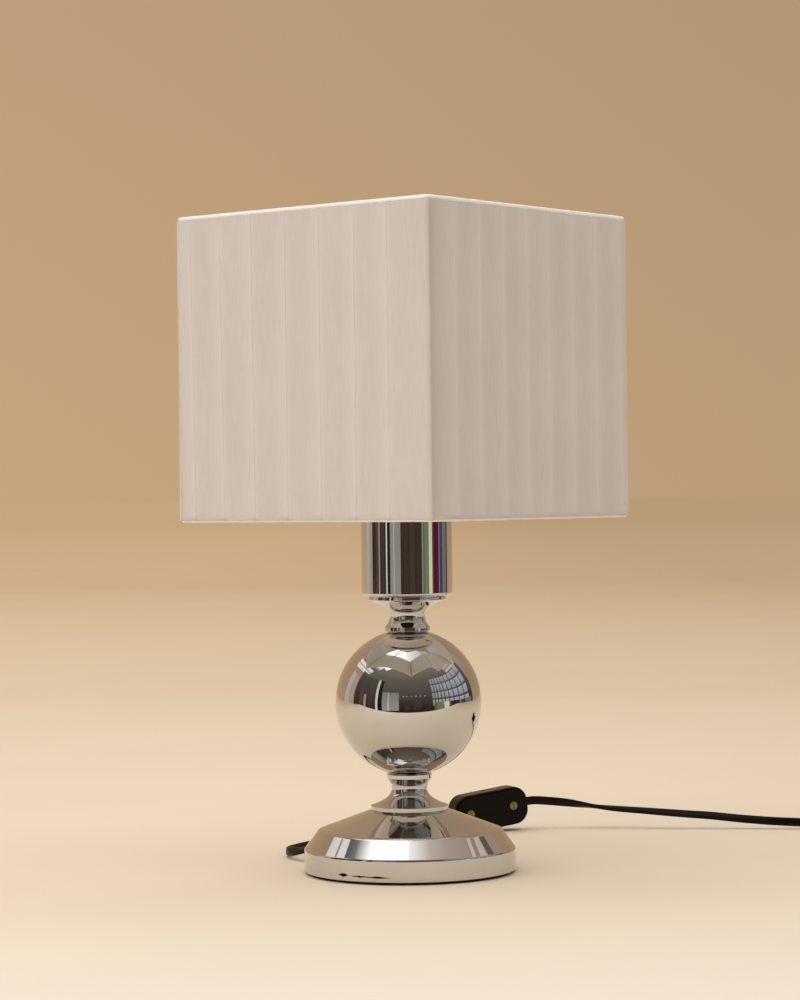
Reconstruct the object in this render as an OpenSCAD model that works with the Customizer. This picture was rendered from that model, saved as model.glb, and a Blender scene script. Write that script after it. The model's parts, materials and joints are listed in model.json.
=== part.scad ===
// Table lamp: spun chrome base, ball stem, lampholder in a cup, square pleated shade, corded rocker switch.
// Millimetres. +Z is up, the origin is on the floor under the middle of the base.

/* [Base] */
// Diameter of the spun base
base_d = 116; // [90:1:150]
// Height of the upright skirt
skirt_h = 11.5; // [8:0.5:20]
// Height of the steep bevel above the skirt
bevel_h = 11; // [6:0.5:20]
// How far the bevel steps in
bevel_in = 8.5; // [4:0.5:16]
// Height of the shallow cone above the bevel
cone_h = 10.3; // [6:0.1:20]
// Sheet thickness of the spun shells
shell_t = 1.2; // [0.8:0.1:2]
// Rounding where the bevel meets the cone
shoulder_r = 4; // [1.5:0.5:6]
// Rounding where the skirt meets the bevel
skirt_r = 2; // [1.5:0.5:4]
// Thickness of the felt pad that the lamp stands on
felt_t = 1.5; // [1:0.25:4]
// How far the felt pad stops short of the skirt
felt_in = 3; // [2:0.5:10]
// Thickness of the bottom cover
cover_t = 1.5; // [1:0.25:3]
// Height of the underside of the weight above the bottom cover
weight_gap = 7; // [6:0.5:9]
// Radial room between the weight and the shell
weight_in = 7; // [5:0.5:12]
// Diameter of the recess under the weight
recess_d = 40; // [30:1:50]
// Depth of iron left over the recess
recess_roof = 9; // [6:0.5:12]

/* [Stem] */
// Diameter of the ball
ball_d = 80; // [60:1:110]
// Wall of the ball
ball_t = 1.5; // [1:0.1:3]
// Seat to seat height of a neck
neck_h = 20; // [18:0.5:30]
// Diameter of a neck's flange
flange_d = 42; // [36:0.5:48]
// Thickness of a neck's flange
flange_t = 2.9; // [2:0.1:5]
// Diameter of a neck's waist
waist_d = 19.4; // [16:0.2:24]
// Radius of the cove that shapes the waist
cove_r = 9; // [7:0.25:10]
// Diameter of the collar under the ball
collar_d = 24.8; // [22:0.2:30]
// Height of the collar
collar_h = 3.4; // [2:0.2:5]
// Outer diameter of the threaded tube
tube_d = 10; // [8:0.5:12]
// Bore of the threaded tube
tube_bore = 7.4; // [6.4:0.1:7.8]
// Radial room of the tube in what it passes through
tube_room = 0.2; // [0.1:0.05:0.5]
// Width across the flats of a tube nut
nut_af = 14; // [13:0.5:18]
// Thickness of a tube nut
nut_t = 5; // [3:0.5:8]
// Diameter of a tube washer
washer_d = 20; // [16:1:26]
// Thickness of a tube washer
washer_t = 1.2; // [0.8:0.1:2]
// How far the tube stands out under the bottom nut
tube_stub = 2; // [1:0.5:3]
// Outer diameter of the cup
cup_d = 50; // [46:0.5:60]
// Height of the cup
cup_h = 62; // [55:1:75]
// Rounding of the cup's foot
cup_foot_r = 1.5; // [1.3:0.1:4]

/* [Lampholder] */
// Outer diameter of the lampholder
holder_d = 40; // [38:0.5:42]
// Wall of the lampholder's shells
holder_t = 2; // [1.5:0.1:3]
// Diameter of the lampholder's threaded entry
entry_d = 16; // [14:0.5:18]
// Height of the lampholder's threaded entry
entry_h = 8; // [6:0.5:12]
// Height of the lampholder's cap above its entry
cap_h = 20; // [18:0.5:26]
// Height of the lampholder's body
body_h = 43; // [40:0.5:50]
// Thickness of the insulating insert
insert_t = 13; // [10:0.5:16]
// Inner diameter of the screw shell
screw_bore = 27.2; // [27:0.1:28]
// Sheet thickness of the screw shell
screw_t = 0.8; // [0.5:0.1:1.2]
// Height of the screw shell
screw_h = 22; // [18:0.5:26]
// Rise of the centre contact's tongue
tongue_h = 3; // [2:0.25:4]
// Outer diameter of the rings that hold the shade
ring_d = 53; // [51:0.5:60]
// Thickness of the lower, fixed ring
ring_low_t = 4; // [3:0.5:6]
// Thickness of the upper, turning ring
ring_up_t = 7; // [5:0.5:9]
// Radial running room of the turning ring
ring_room = 0.06; // [0.02:0.01:0.1]

/* [Shade] */
// Outer width of the square shade
shade_w = 176; // [140:1:220]
// Height of the shade
shade_h = 166; // [120:1:200]
// Height of the shade's lower edge above the floor
shade_z = 192.5; // [186:0.5:200]
// Rounding of the shade's upright corners
shade_corner = 2.5; // [2:0.5:6]
// Pleats on each side
pleats = 8; // [6:1:12]
// Depth of a pleat
pleat_t = 0.7; // [0.4:0.1:1]
// Fabric thickness under the pleats
fabric_t = 0.7; // [0.5:0.1:1]
// Width of a pleat's turned edge
fold_w = 0.8; // [0.4:0.1:1.5]
// Diameter of the wire of the shade's frames
wire_d = 2; // [1.75:0.25:4]
// Diameter of the fitter's arms
arm_d = 2.5; // [1.75:0.25:2.75]
// Room between the fabric and the wire
wire_room = 0.05; // [0.05:0.05:0.2]
// Thickness of the fabric rolled round the wires
hem_t = 0.4; // [0.3:0.1:1]
// Thickness of the fitter ring
fitter_t = 2; // [1.5:0.25:3]
// Room of the fitter ring round the lampholder
fitter_room = 0.5; // [0.3:0.1:1]
// Room of the fitter ring above and below
fitter_gap = 0.3; // [0.2:0.05:0.5]

/* [Bulb] */
// Diameter of the bulb
bulb_d = 60; // [45:1:64]
// Diameter of the bulb's neck
bulb_neck_d = 28; // [27:0.5:32]
// Length of the bulb above its cap
bulb_h = 84; // [70:1:95]
// Wall of the bulb
bulb_t = 0.8; // [0.6:0.1:1.5]
// Outer diameter of the bulb's cap
cap_d = 26.4; // [26:0.1:26.6]
// Length of the bulb's cap
cap_len = 20; // [18:0.5:24]
// Height of the bulb's insulator
insulator_h = 2.5; // [2:0.25:4]
// Height of the bulb's end contact
tip_h = 1; // [0.5:0.25:1.5]
// Room between the end contact and the tongue
tip_gap = 0.3; // [0.2:0.05:0.5]

/* [Switch] */
// Length of the switch
sw_l = 48; // [46:0.5:60]
// Width of the switch
sw_w = 23; // [22:0.5:28]
// Thickness of the switch
sw_t = 14; // [13.5:0.25:18]
// Rounding of the switch's corners
sw_r = 9; // [6:0.5:10]
// Wall of the switch's shells
sw_wall = 1.8; // [1.4:0.1:2]
// Bevel round the switch's faces
sw_bevel = 1; // [0.5:0.1:1.3]
// Distance between the two case screws
sw_screw_gap = 28.8; // [27:0.2:31]
// Length of the rocker
rocker_l = 16.8; // [14:0.2:18]
// Width of the rocker
rocker_w = 8.4; // [7:0.2:10]
// Height of the rocker's ends over the switch's face
rocker_out = 1.5; // [1:0.1:2.5]
// Tilt of the rocker to each side of the middle
rocker_tilt = 8; // [5:0.5:9]
// Diameter of the rocker's axle
axle_d = 2; // [1.6:0.1:2.4]
// Radial running room of the rocker on its axle
axle_room = 0.05; // [0.02:0.01:0.1]

/* [Cord and plug] */
// Width of the flat cord
cord_w = 5.2; // [4.4:0.1:5.6]
// Thickness of the flat cord
cord_t = 2.8; // [2.2:0.1:3]
// Room round the cord in its holes
cord_room = 0.2; // [0.1:0.05:0.4]
// Height of the cord's outlet above the floor
outlet_z = 7.5; // [7.25:0.25:8]
// Diameter of the bushing's neck
bushing_d = 8; // [7.5:0.25:8.5]
// Diameter of the bushing's flange
bushing_flange_d = 10.5; // [10:0.25:11.5]
// How far the bushing stands out of the skirt
bushing_out = 4; // [3:0.5:8]
// Inner radius of the coil
coil_in = 23; // [20:1:40]
// Room between the coil's turns
coil_room = 1; // [0.8:0.1:2]
// Thickness of the tie round the coil
tie_t = 0.8; // [0.6:0.1:1.5]
// Width of the tie
tie_w = 6; // [3:0.5:10]
// Room between the tie and the coil
tie_room = 0.3; // [0.2:0.05:0.5]
// Width of the plug
plug_w = 35; // [32:0.5:38]
// Thickness of the plug
plug_t = 13.7; // [12:0.1:16]
// Length of the plug's body
plug_l = 35; // [30:0.5:40]
// Length of the plug's strain relief
relief_l = 20; // [16:1:30]
// Diameter of the plug's strain relief at the cord
relief_d = 7.5; // [7:0.1:9]
// Diameter of a plug pin
pin_d = 4; // [3.8:0.1:4.8]
// Distance between the plug pins
pin_gap = 18.6; // [17:0.1:19]
// Length of a plug pin
pin_l = 19; // [17:0.5:20]
// Length of the insulating sleeve on a plug pin
sleeve_l = 10; // [8:0.5:12]
// How much thinner the sleeve is than the pin
sleeve_step = 0.8; // [0.6:0.05:1]
// Diameter of a pin's core inside its sleeve
pin_core_d = 2.4; // [2:0.1:2.6]

/* [Hidden] */
$fn = 64;
eps = 0.01;
// How far a cut reaches past what it cuts
over = 1;

// Colours
chrome = "gainsboro";
black = "#1c1a19";
brass = "#b9973f";
fabric = "#d9d0c3";
steel = "silver";

// Base levels and radii
base_r = base_d / 2;
skirt_z = felt_t + skirt_h;
bevel_z = skirt_z + bevel_h;
base_top = bevel_z + cone_h;
flange_r = flange_d / 2;
base_path = [
    [base_r, felt_t], [base_r, skirt_z], [base_r - bevel_in, bevel_z], [flange_r, base_top], [0, base_top]
];
weight_z = felt_t + cover_t + weight_gap;
roof_z = base_top - shell_t - recess_roof;
weight_r = base_r - weight_in;

// Stem levels
tube_r = tube_d / 2;
hole_r = tube_r + tube_room;
ball_r = ball_d / 2;
collar_r = collar_d / 2;
seat_r = collar_r - collar_h / 2;
seat_drop = sqrt(ball_r * ball_r - seat_r * seat_r);
ball_z = base_top + neck_h + seat_drop;
cup_z = ball_z + seat_drop + neck_h;
cup_top = cup_z + cup_h;
low_nut_z = roof_z - washer_t - nut_t;
high_nut_z = cup_z + shell_t + washer_t;
holder_z = high_nut_z + nut_t;
tube_z = low_nut_z - tube_stub;
tube_top = holder_z + entry_h;
holder_r = holder_d / 2;
cap_z = holder_z + entry_h;
body_z = cap_z + cap_h;
insert_top = body_z + insert_t;
ring_r = ring_d / 2;
fitter_z = cup_top + ring_low_t + fitter_gap;
shade_ring_z = fitter_z + fitter_t + fitter_gap;

// Small pieces of the lampholder and its lead
terminal_h = 8;
terminal_w = 6;
terminal_x = 8;
tongue_t = 0.6;
tongue_w = 6;
tongue_l = 9;
lead_bend = 8;
core_r = 0.9;
core_rise = 6;
lead_top = body_z - terminal_h - core_rise;
grips = 24;
grip_r = 1;
grip_in = 1;
grip_z = ring_up_t / 3;

// Bushing
bushing_end = base_r + bushing_out;
bushing_nut_t = 3;
bushing_stub = 2;
bushing_room = 0.05;
bushing_nut_x = base_r - shell_t - bushing_nut_t;
bushing_in = bushing_nut_x - bushing_stub;

// Bulb levels
tip_z = insert_top + tongue_h + tip_gap;
insulator_z = tip_z + tip_h;
cap_bottom = insulator_z + insulator_h;
glass_z = cap_bottom + cap_len;
bulb_r = bulb_d / 2;
bulb_mid = glass_z + bulb_h - bulb_r;
bulb_flank = 30;
insulator_low_d = cap_d / 3;
insulator_top_d = cap_d - 4;
contact_r = cap_d / 6;

// Shade
shade_top = shade_z + shade_h;
hem_r = wire_d / 2 + wire_room + hem_t;
wire_half = shade_w / 2 - hem_r;
wire_bend = shade_corner;
low_wire_z = shade_z + hem_r;
top_wire_z = shade_top - hem_r;
skin_t = fabric_t + pleat_t;
strut_gap = 0.25;
cover_corner = (shade_w / 2 - shade_corner) * sqrt(2) + shade_corner - skin_t;
strut_at = (cover_corner - strut_gap - wire_d / 2) / sqrt(2);

// Switch place, its lower corner stands on the floor
sw_at = [-79, 173];
sw_yaw = 62;
sw_tilt = 7.5;
sw_z = (sw_l / 2 - sw_r) * sin(sw_tilt) + (sw_w / 2 - sw_r) * cos(sw_tilt) + sw_r;
sw_half = sw_t / 2;
pivot_y = 3.2;
window_room = 1.2;
lug_t = 2;
lug_gap = 0.4;
nose_r = 2.6;
nose_y = -1;
plunger_r = 1.45;
plate_y = -3.4;
plate_l = 14;
plate_w = 4;
plate_t = 0.6;
plate_gap = 0.25;
floor_y = sw_wall - sw_half;
screw_head_r = 2.6;
screw_shank_r = 1.3;
boss_r = 3;
strip_z = 5;
strip_w = 1.6;
strip_t = 0.6;
pad_x = 6;
pad_l = 2.4;
pad_gap = 0.1;
block_l = 3.2;
block_w = 7;
block_room = 0.8;
clamp_r = 1.6;
clamp_h = 1.6;
shank_r = 1.2;
cord_in = 2.3;
block_gap = 0.3;
block_end = sw_l / 2 - cord_in - block_gap;
head_t = 1.8;
head_sink = 0.4;
head_room = 0.1;
pilot = 4;
lug_x = 2.5;
slot_w = 0.7;
slot_h = 0.6;
spring_y = 0.2;
spring_t = 0.4;
axle_roof = 0.6;
rocker_floor = 0.8;
rocker_dip = 1.2;

// Plug
plug_nose = 5;
plug_tail_w = 13;
plug_tail_t = 8.7;
front_y = relief_l + plug_l;
embed = 2;
pin_taper = pin_d / 4;

// Places on the switch, in the frame of the whole lamp
function on_switch(x) = [
    sw_at[0] + x * cos(sw_tilt) * cos(sw_yaw),
    sw_at[1] + x * cos(sw_tilt) * sin(sw_yaw),
    sw_z + x * sin(sw_tilt)
];

// Coil: half the turns spiral in on the floor, half spiral out above them
coil_at = [88, 339];
coil_start = -51;
coil_laps = 7;
coil_rings = 24;
coil_turns = coil_laps - coil_start / 360;
coil_pitch = cord_t + coil_room;
coil_step = cord_w + coil_room;
coil_z = tie_t + tie_room + cord_w / 2;
tail_l = 36;
tail_z = coil_z + coil_step;
plug_z = plug_t / 2;
coil_out = coil_in + coil_pitch * coil_turns / 2;
tie_angle = 150;
tie_bend = 1;

// Cord routes: place and how far the flat is turned from standing on edge
lead_route = [
    [-bushing_end, 0, outlet_z, 90], [-bushing_end - cord_w, 0, outlet_z, 90],
    [-76, 0, 6.5, 70], [-85, 1.5, 5, 35], [-94, 6, 4, 10],
    [-101, 14, 3.2, 0], [-105, 25, 3, 0], [-108, 40, 3, 0], [-110, 58, 3, 0], [-110.5, 78, 3, 0],
    [-108.5, 100, 3.2, 0], [-104, 121, 5, 0], [-98, 137, 8, 0]
];
free_route = [
    [-61, 204, 17, 0], [-50, 214, 15.5, 20], [-37, 222, 13.5, 75], [-25, 229, 12, 105],
    [-12, 236, 11, 115], [1, 243, 10, 125], [14, 250, 9, 133], [27, 258, 8, 140], [40, 266, 6.5, 146],
    [52, 273, 5.4, 152], [64, 280, 4.6, 160], [78, 289, 4, 170], [90, 298, 3.8, 180]
];

// Points of a path moved inwards by t, with mitred corners
function unit(v) = v / norm(v);
function left_of(a, b) = let (d = unit(b - a)) [-d[1], d[0]];
function cross2(a, b) = a[0] * b[1] - a[1] * b[0];
function inset_point(a, b, c, t) = let (
    n1 = left_of(a, b),
    n2 = left_of(b, c),
    bisector = unit(n1 + n2)
) b + bisector * t / (bisector * n1);
function inset_path(p, t) = [
    for (i = [0:len(p) - 1])
        i == 0 ? p[0] + left_of(p[0], p[1]) * t :
        i == len(p) - 1 ? p[i] + left_of(p[i - 1], p[i]) * t :
        inset_point(p[i - 1], p[i], p[i + 1], t)
];
// Points of an arc of radius r that rounds the corner b between a and c
arc_steps = 6;
function round_corner(a, b, c, r) = let (
    d1 = unit(a - b),
    d2 = unit(c - b),
    half = acos(d1 * d2) / 2,
    bisector = unit(d1 + d2),
    middle = b + bisector * r / sin(half),
    first = b + d1 * r / tan(half) - middle,
    last = b + d2 * r / tan(half) - middle,
    turn = asin(cross2(first, last) / (r * r))
) [
    for (i = [0:arc_steps]) let (w = turn * i / arc_steps)
        middle + [first[0] * cos(w) - first[1] * sin(w), first[0] * sin(w) + first[1] * cos(w)]
];
function spun(p, r1, r2) = concat(
    [p[0]], round_corner(p[0], p[1], p[2], r1), round_corner(p[1], p[2], p[3], r2), [p[3], p[4]]
);

// A tube through rings of points, closed at both ends
function ring_faces(n, s) = concat(
    [for (i = [0:n - 2]) for (k = [0:s - 1]) [i * s + k, i * s + (k + 1) % s, (i + 1) * s + k]],
    [for (i = [0:n - 2]) for (k = [0:s - 1]) let (next = (k + 1) % s)
        [i * s + next, (i + 1) * s + next, (i + 1) * s + k]],
    [for (k = [1:s - 2]) [0, k + 1, k]],
    [for (k = [1:s - 2]) [(n - 1) * s, (n - 1) * s + k, (n - 1) * s + k + 1]]
);
function place(q) = [q[0], q[1], q[2]];
function along(p, i) = unit(place(p[min(i + 1, len(p) - 1)]) - place(p[max(i - 1, 0)]));
function section_point(q, dir, s) = let (
    side = unit(cross(dir, [0, 0, 1])),
    up = cross(side, dir)
) place(q) + up * (s[0] * cos(q[3]) - s[1] * sin(q[3])) + side * (s[0] * sin(q[3]) + s[1] * cos(q[3]));
function rings_of(p, section) = [
    for (i = [0:len(p) - 1]) let (dir = along(p, i)) [for (s = section) section_point(p[i], dir, s)]
];
function flat(lists) = [for (l = lists) each l];
module tube_along(p, section) {
    polyhedron(flat(rings_of(p, section)), ring_faces(len(p), len(section)));
}

// Sections of the flat cord: eight sides on the free runs, six in the coil
cord_section = [
    for (end = [0, 180]) for (a = [-67.5:45:67.5])
        [(cord_w - cord_t) / 2 * cos(end) + cord_t / 2 * cos(end + a), cord_t / 2 * sin(end + a)]
];
coil_section = [
    for (end = [0, 180]) for (a = [-90, 0, 90]) if (a != 0)
        [(cord_w - cord_t) / 2 * cos(end), cord_t / 2 * sin(end + a)]
    else
        [cord_w / 2 * cos(end), 0]
];

// Coil path: t counts turns from the outer end on the floor
function smooth(x) = let (c = min(max(x, 0), 1)) c * c * (3 - 2 * c);
function coil_radius(t) = coil_in + coil_pitch * abs(t - coil_turns / 2);
function coil_height(t) = coil_z + coil_step * smooth((t - coil_turns / 2) * 2 + 0.5);
function coil_point(t) = let (a = coil_start + 360 * t, r = coil_radius(t)) [
    coil_at[0] + r * cos(a), coil_at[1] + r * sin(a), coil_height(t), 0
];
coil_count = round(coil_turns * coil_rings);
coil_way = [-sin(coil_start), cos(coil_start), 0, 0];
coil_first = coil_point(0) - coil_way * cord_w;
tail_steps = 6;
plug_y = coil_at[1] + tail_l;
plug_x = coil_at[0] + coil_out;
coil_path = concat(
    [coil_first],
    [for (k = [0:coil_count]) coil_point(k * coil_turns / coil_count)],
    [for (k = [1:tail_steps]) let (f = k / tail_steps)
        [plug_x, coil_at[1] + tail_l * f, tail_z + (plug_z - tail_z) * smooth(2 * f - 2 / 3), 0]]
);

// The least gap of the coil to itself, from points on its surface at least half a turn apart
coil_rows = rings_of(coil_path, coil_section);
gap_from = round(coil_rings / 2);
coil_gap = min([
    for (i = [0:len(coil_rows) - 1 - gap_from]) for (j = [i + gap_from:len(coil_rows) - 1])
        if (norm(place(coil_path[i]) - place(coil_path[j])) < 2 * cord_w)
            for (p = coil_rows[i]) for (q = coil_rows[j]) norm(p - q)
]);
echo(least_coil_gap = coil_gap);

// Shared shapes
module round_rect(l, w, r) {
    square([l - 2 * r, w], center = true);
    square([l, w - 2 * r], center = true);
    for (x = [-1, 1]) for (y = [-1, 1]) translate([x * (l / 2 - r), y * (w / 2 - r)]) circle(r);
}
module cord_outline(room) {
    r = cord_t / 2 + room;
    square([cord_w - cord_t, 2 * r], center = true);
    for (x = [-1, 1]) translate([x * (cord_w - cord_t) / 2, 0]) circle(r);
}
module disc(r, z0, z1) { translate([0, 0, z0]) cylinder(r = r, h = z1 - z0); }
module ring(r_out, r_in, z0, z1) {
    difference() {
        disc(r_out, z0, z1);
        disc(r_in, z0 - over, z1 + over);
    }
}
module square_ring(half, bend) {
    run = 2 * (half - bend);
    for (a = [0:90:270]) rotate([0, 0, a]) {
        translate([half, -run / 2, 0]) rotate([-90, 0, 0]) linear_extrude(run) children();
        translate([half - bend, half - bend, 0]) rotate_extrude(angle = 90) translate([bend, 0]) children();
    }
}
module hex_nut(z) {
    difference() {
        translate([0, 0, z]) cylinder(d = nut_af / cos(30), h = nut_t, $fn = 6);
        disc(tube_r, z - over, z + nut_t + over);
    }
}

// Base
module base_shell() {
    inner = inset_path(base_path, shell_t);
    color(chrome) difference() {
        rotate_extrude() polygon(concat([[0, felt_t]], spun(base_path, skirt_r, shoulder_r)));
        rotate_extrude() polygon(concat(
            [[0, felt_t - over], [inner[0][0], felt_t - over]],
            spun(inner, skirt_r - shell_t, shoulder_r - shell_t)
        ));
        disc(hole_r, bevel_z, base_top + over);
        translate([-base_r - over, 0, outlet_z]) rotate([0, 90, 0]) cylinder(d = bushing_d, h = bevel_in);
    }
}
module base_weight() {
    inner = inset_path(base_path, shell_t);
    shift = weight_in - shell_t;
    color("dimgray") difference() {
        rotate_extrude() polygon([
            [0, weight_z], [weight_r, weight_z], [weight_r, skirt_z - shell_t],
            [inner[2][0] - shift, inner[2][1] - shell_t], [inner[3][0], base_top - shell_t],
            [0, base_top - shell_t]
        ]);
        disc(hole_r, weight_z - over, base_top);
        disc(recess_d / 2, weight_z - over, roof_z);
    }
}
module bottom_cover() {
    color("#4a4744") disc(base_r - shell_t, felt_t, felt_t + cover_t);
}
module felt_pad() {
    color("#2c3a30") disc(base_r - felt_in, 0, felt_t);
}
module outlet() {
    translate([0, 0, outlet_z]) rotate([0, -90, 0]) rotate([0, 0, 90]) children();
}
module cord_bushing() {
    color(black) difference() {
        union() {
            difference() {
                outlet() disc(bushing_flange_d / 2, base_r - 2 * over, bushing_end);
                disc(base_r, 0, base_top);
            }
            outlet() disc(bushing_d / 2, bushing_in, base_r);
        }
        outlet() translate([0, 0, bushing_in - over]) linear_extrude(bushing_end) cord_outline(cord_room);
    }
}
module bushing_nut() {
    color(black) difference() {
        intersection() {
            outlet() ring(bushing_flange_d / 2, bushing_d / 2 + bushing_room, bushing_nut_x, base_r);
            disc(base_r - shell_t, 0, base_top);
        }
        disc(base_r, 0, felt_t + cover_t);
    }
}
module inner_lead() {
    color(black) {
        outlet() translate([0, 0, lead_bend]) linear_extrude(bushing_end - lead_bend) cord_outline(0);
        translate([-lead_bend, 0, outlet_z + lead_bend]) rotate([90, 0, 0]) rotate([0, 0, -90])
            rotate_extrude(angle = 90) translate([lead_bend, 0]) rotate([0, 0, 90]) cord_outline(0);
        translate([0, 0, outlet_z + lead_bend]) linear_extrude(lead_top - outlet_z - lead_bend)
            rotate([0, 0, 90]) cord_outline(0);
        translate([0, -terminal_x, lead_top - cord_t / 2]) {
            along_y(core_r, 0, 2 * terminal_x);
            for (y = [0, 2 * terminal_x]) translate([0, y, 0]) {
                sphere(core_r);
                cylinder(r = core_r, h = core_rise + cord_t / 2);
            }
        }
    }
}

// Stem
module threaded_tube() { color(steel) ring(tube_r, tube_bore / 2, tube_z, tube_top); }
module tube_nuts() {
    color(steel) {
        hex_nut(low_nut_z);
        hex_nut(high_nut_z);
    }
}
module tube_washers() {
    color(steel) {
        ring(washer_d / 2, hole_r, roof_z - washer_t, roof_z);
        ring(washer_d / 2, hole_r, high_nut_z - washer_t, high_nut_z);
    }
}
module neck() {
    bead = flange_t / 2;
    rotate_extrude() difference() {
        union() {
            square([flange_r - bead, flange_t]);
            translate([flange_r - bead, bead]) circle(bead);
            difference() {
                square([waist_d / 2 + cove_r, neck_h - collar_h]);
                translate([waist_d / 2 + cove_r, flange_t + cove_r]) circle(cove_r);
                translate([seat_r, flange_t + cove_r]) square([flange_r, neck_h]);
            }
            translate([0, neck_h - collar_h]) square([seat_r, collar_h]);
            translate([seat_r, neck_h - collar_h / 2]) circle(collar_h / 2);
        }
        translate([0, -over]) square([hole_r, neck_h + 2 * over]);
        translate([-flange_d, -over]) square([flange_d, neck_h + 2 * over]);
        translate([0, neck_h + seat_drop]) circle(ball_r);
    }
}
module lower_neck() { color(chrome) translate([0, 0, base_top]) neck(); }
module upper_neck() { color(chrome) translate([0, 0, cup_z]) mirror([0, 0, 1]) neck(); }
module ball() {
    color(chrome) translate([0, 0, ball_z]) difference() {
        sphere(ball_r);
        sphere(ball_r - ball_t);
        disc(hole_r, -ball_d, ball_d);
    }
}
module socket_cup() {
    r = cup_d / 2;
    color(chrome) translate([0, 0, cup_z]) rotate_extrude() difference() {
        union() {
            square([r - cup_foot_r, cup_h]);
            translate([0, cup_foot_r]) square([r, cup_h - cup_foot_r]);
            translate([r - cup_foot_r, cup_foot_r]) circle(cup_foot_r);
        }
        translate([0, shell_t]) square([r - shell_t, cup_h]);
        translate([0, -over]) square([hole_r, cup_h]);
        translate([-cup_d, 0]) square([cup_d, cup_h]);
    }
}

// Lampholder
module holder_cap() {
    color(black) difference() {
        union() {
            disc(entry_d / 2, holder_z, cap_z + holder_t);
            disc(holder_r, cap_z, body_z);
        }
        disc(tube_r, holder_z - over, cap_z + holder_t + over);
        disc(holder_r - holder_t, cap_z + holder_t, body_z + over);
    }
}
module holder_body() { color(black) ring(holder_r, holder_r - holder_t, body_z, body_z + body_h); }
module holder_insert() { color("ivory") disc(holder_r - holder_t, body_z, insert_top); }
module screw_shell() {
    color(brass) ring(screw_bore / 2 + screw_t, screw_bore / 2, insert_top, insert_top + screw_h);
}
module centre_contact() {
    color(brass) {
        translate([-tongue_l, -tongue_w / 2, insert_top]) cube([tongue_l, tongue_w, tongue_t]);
        translate([-tongue_w / 2, -tongue_w / 2, insert_top + tongue_h - tongue_t])
            cube([tongue_w, tongue_w, tongue_t]);
        translate([-tongue_w / 2, -tongue_w / 2, insert_top]) cube([tongue_t, tongue_w, tongue_h]);
    }
}
module at_terminals() {
    rotate([0, 0, 90]) for (x = [-1, 1]) translate([x * terminal_x, 0, body_z - terminal_h]) children();
}
module holder_terminals() {
    color(brass) at_terminals() difference() {
        translate([-terminal_w / 2, -terminal_w / 2, 0]) cube([terminal_w, terminal_w, terminal_h]);
        translate([0, -terminal_w / 2 - over, terminal_h / 2]) rotate([-90, 0, 0])
            cylinder(r = shank_r, h = terminal_w / 2);
    }
}
module holder_screws() {
    color(steel) at_terminals() translate([0, -terminal_w / 2 - clamp_h, terminal_h / 2])
        rotate([-90, 0, 0]) {
        cylinder(r = clamp_r, h = clamp_h);
        cylinder(r = shank_r, h = clamp_h + terminal_w / 2 - over);
    }
}
module holder_ring() { color(black) ring(ring_r, holder_r, cup_top, cup_top + ring_low_t); }

// Shade
module shade_ring() {
    color(black) difference() {
        ring(ring_r - grip_in, holder_r + ring_room, shade_ring_z, shade_ring_z + ring_up_t);
        for (i = [0:grips - 1]) rotate([0, 0, 360 * i / grips])
            translate([ring_r - grip_in, 0, shade_ring_z + grip_z]) cylinder(r = grip_r, h = ring_up_t);
    }
}
module fitter_ring() {
    color("white") ring(ring_r, holder_r + fitter_room, fitter_z, fitter_z + fitter_t);
}
module wire_square(z, r) {
    translate([0, 0, z]) square_ring(wire_half, wire_bend) circle(r);
}
module bottom_frame() { color("white") wire_square(low_wire_z, wire_d / 2); }
module top_frame() { color("white") wire_square(top_wire_z, wire_d / 2); }
module corner_struts() {
    color("white") difference() {
        for (a = [0:90:270]) rotate([0, 0, a]) translate([strut_at, strut_at, low_wire_z])
            cylinder(d = wire_d, h = top_wire_z - low_wire_z);
        wire_square(low_wire_z, hem_r);
        wire_square(top_wire_z, hem_r);
    }
}
module fitter_arms() {
    rise = fitter_z + fitter_t / 2 - low_wire_z;
    slope = atan2(rise, wire_half - ring_r);
    arm = norm([rise, wire_half - ring_r]);
    color("white") difference() {
        for (a = [0:90:270]) rotate([0, 0, a]) translate([wire_half, 0, low_wire_z])
            rotate([0, slope - 90, 0]) cylinder(d = arm_d, h = arm + arm_d);
        disc(ring_r, fitter_z - ring_r, fitter_z + ring_r);
        wire_square(low_wire_z, hem_r);
    }
}
module pleated_outline() {
    run = shade_w / 2 - shade_corner;
    pitch = 2 * run / pleats;
    low = shade_w / 2 - pleat_t;
    corner_steps = 4;
    polygon([
        for (a = [0:90:270]) each [
            for (q = concat(
                [for (i = [0:pleats - 1]) each [
                    [low, -run + i * pitch + (i == 0 ? 0 : fold_w)], [low + pleat_t, -run + (i + 1) * pitch]
                ]],
                [for (i = [1:corner_steps - 1]) let (w = 90 * i / corner_steps)
                    [run + shade_corner * cos(w), run + shade_corner * sin(w)]]
            )) [q[0] * cos(a) - q[1] * sin(a), q[0] * sin(a) + q[1] * cos(a)]
        ]
    ]);
}
module shade_cover() {
    inner = shade_w - 2 * skin_t;
    color(fabric) translate([0, 0, shade_z + 2 * hem_r]) linear_extrude(shade_h - 4 * hem_r) difference() {
        pleated_outline();
        round_rect(inner, inner, shade_corner - skin_t);
    }
}
module hem(z) {
    translate([0, 0, z]) square_ring(wire_half, wire_bend) difference() {
        circle(hem_r);
        circle(wire_d / 2 + wire_room);
    }
}
module top_hem() { color("white") hem(top_wire_z); }
module bottom_hem() { color(fabric) hem(low_wire_z); }

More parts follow.
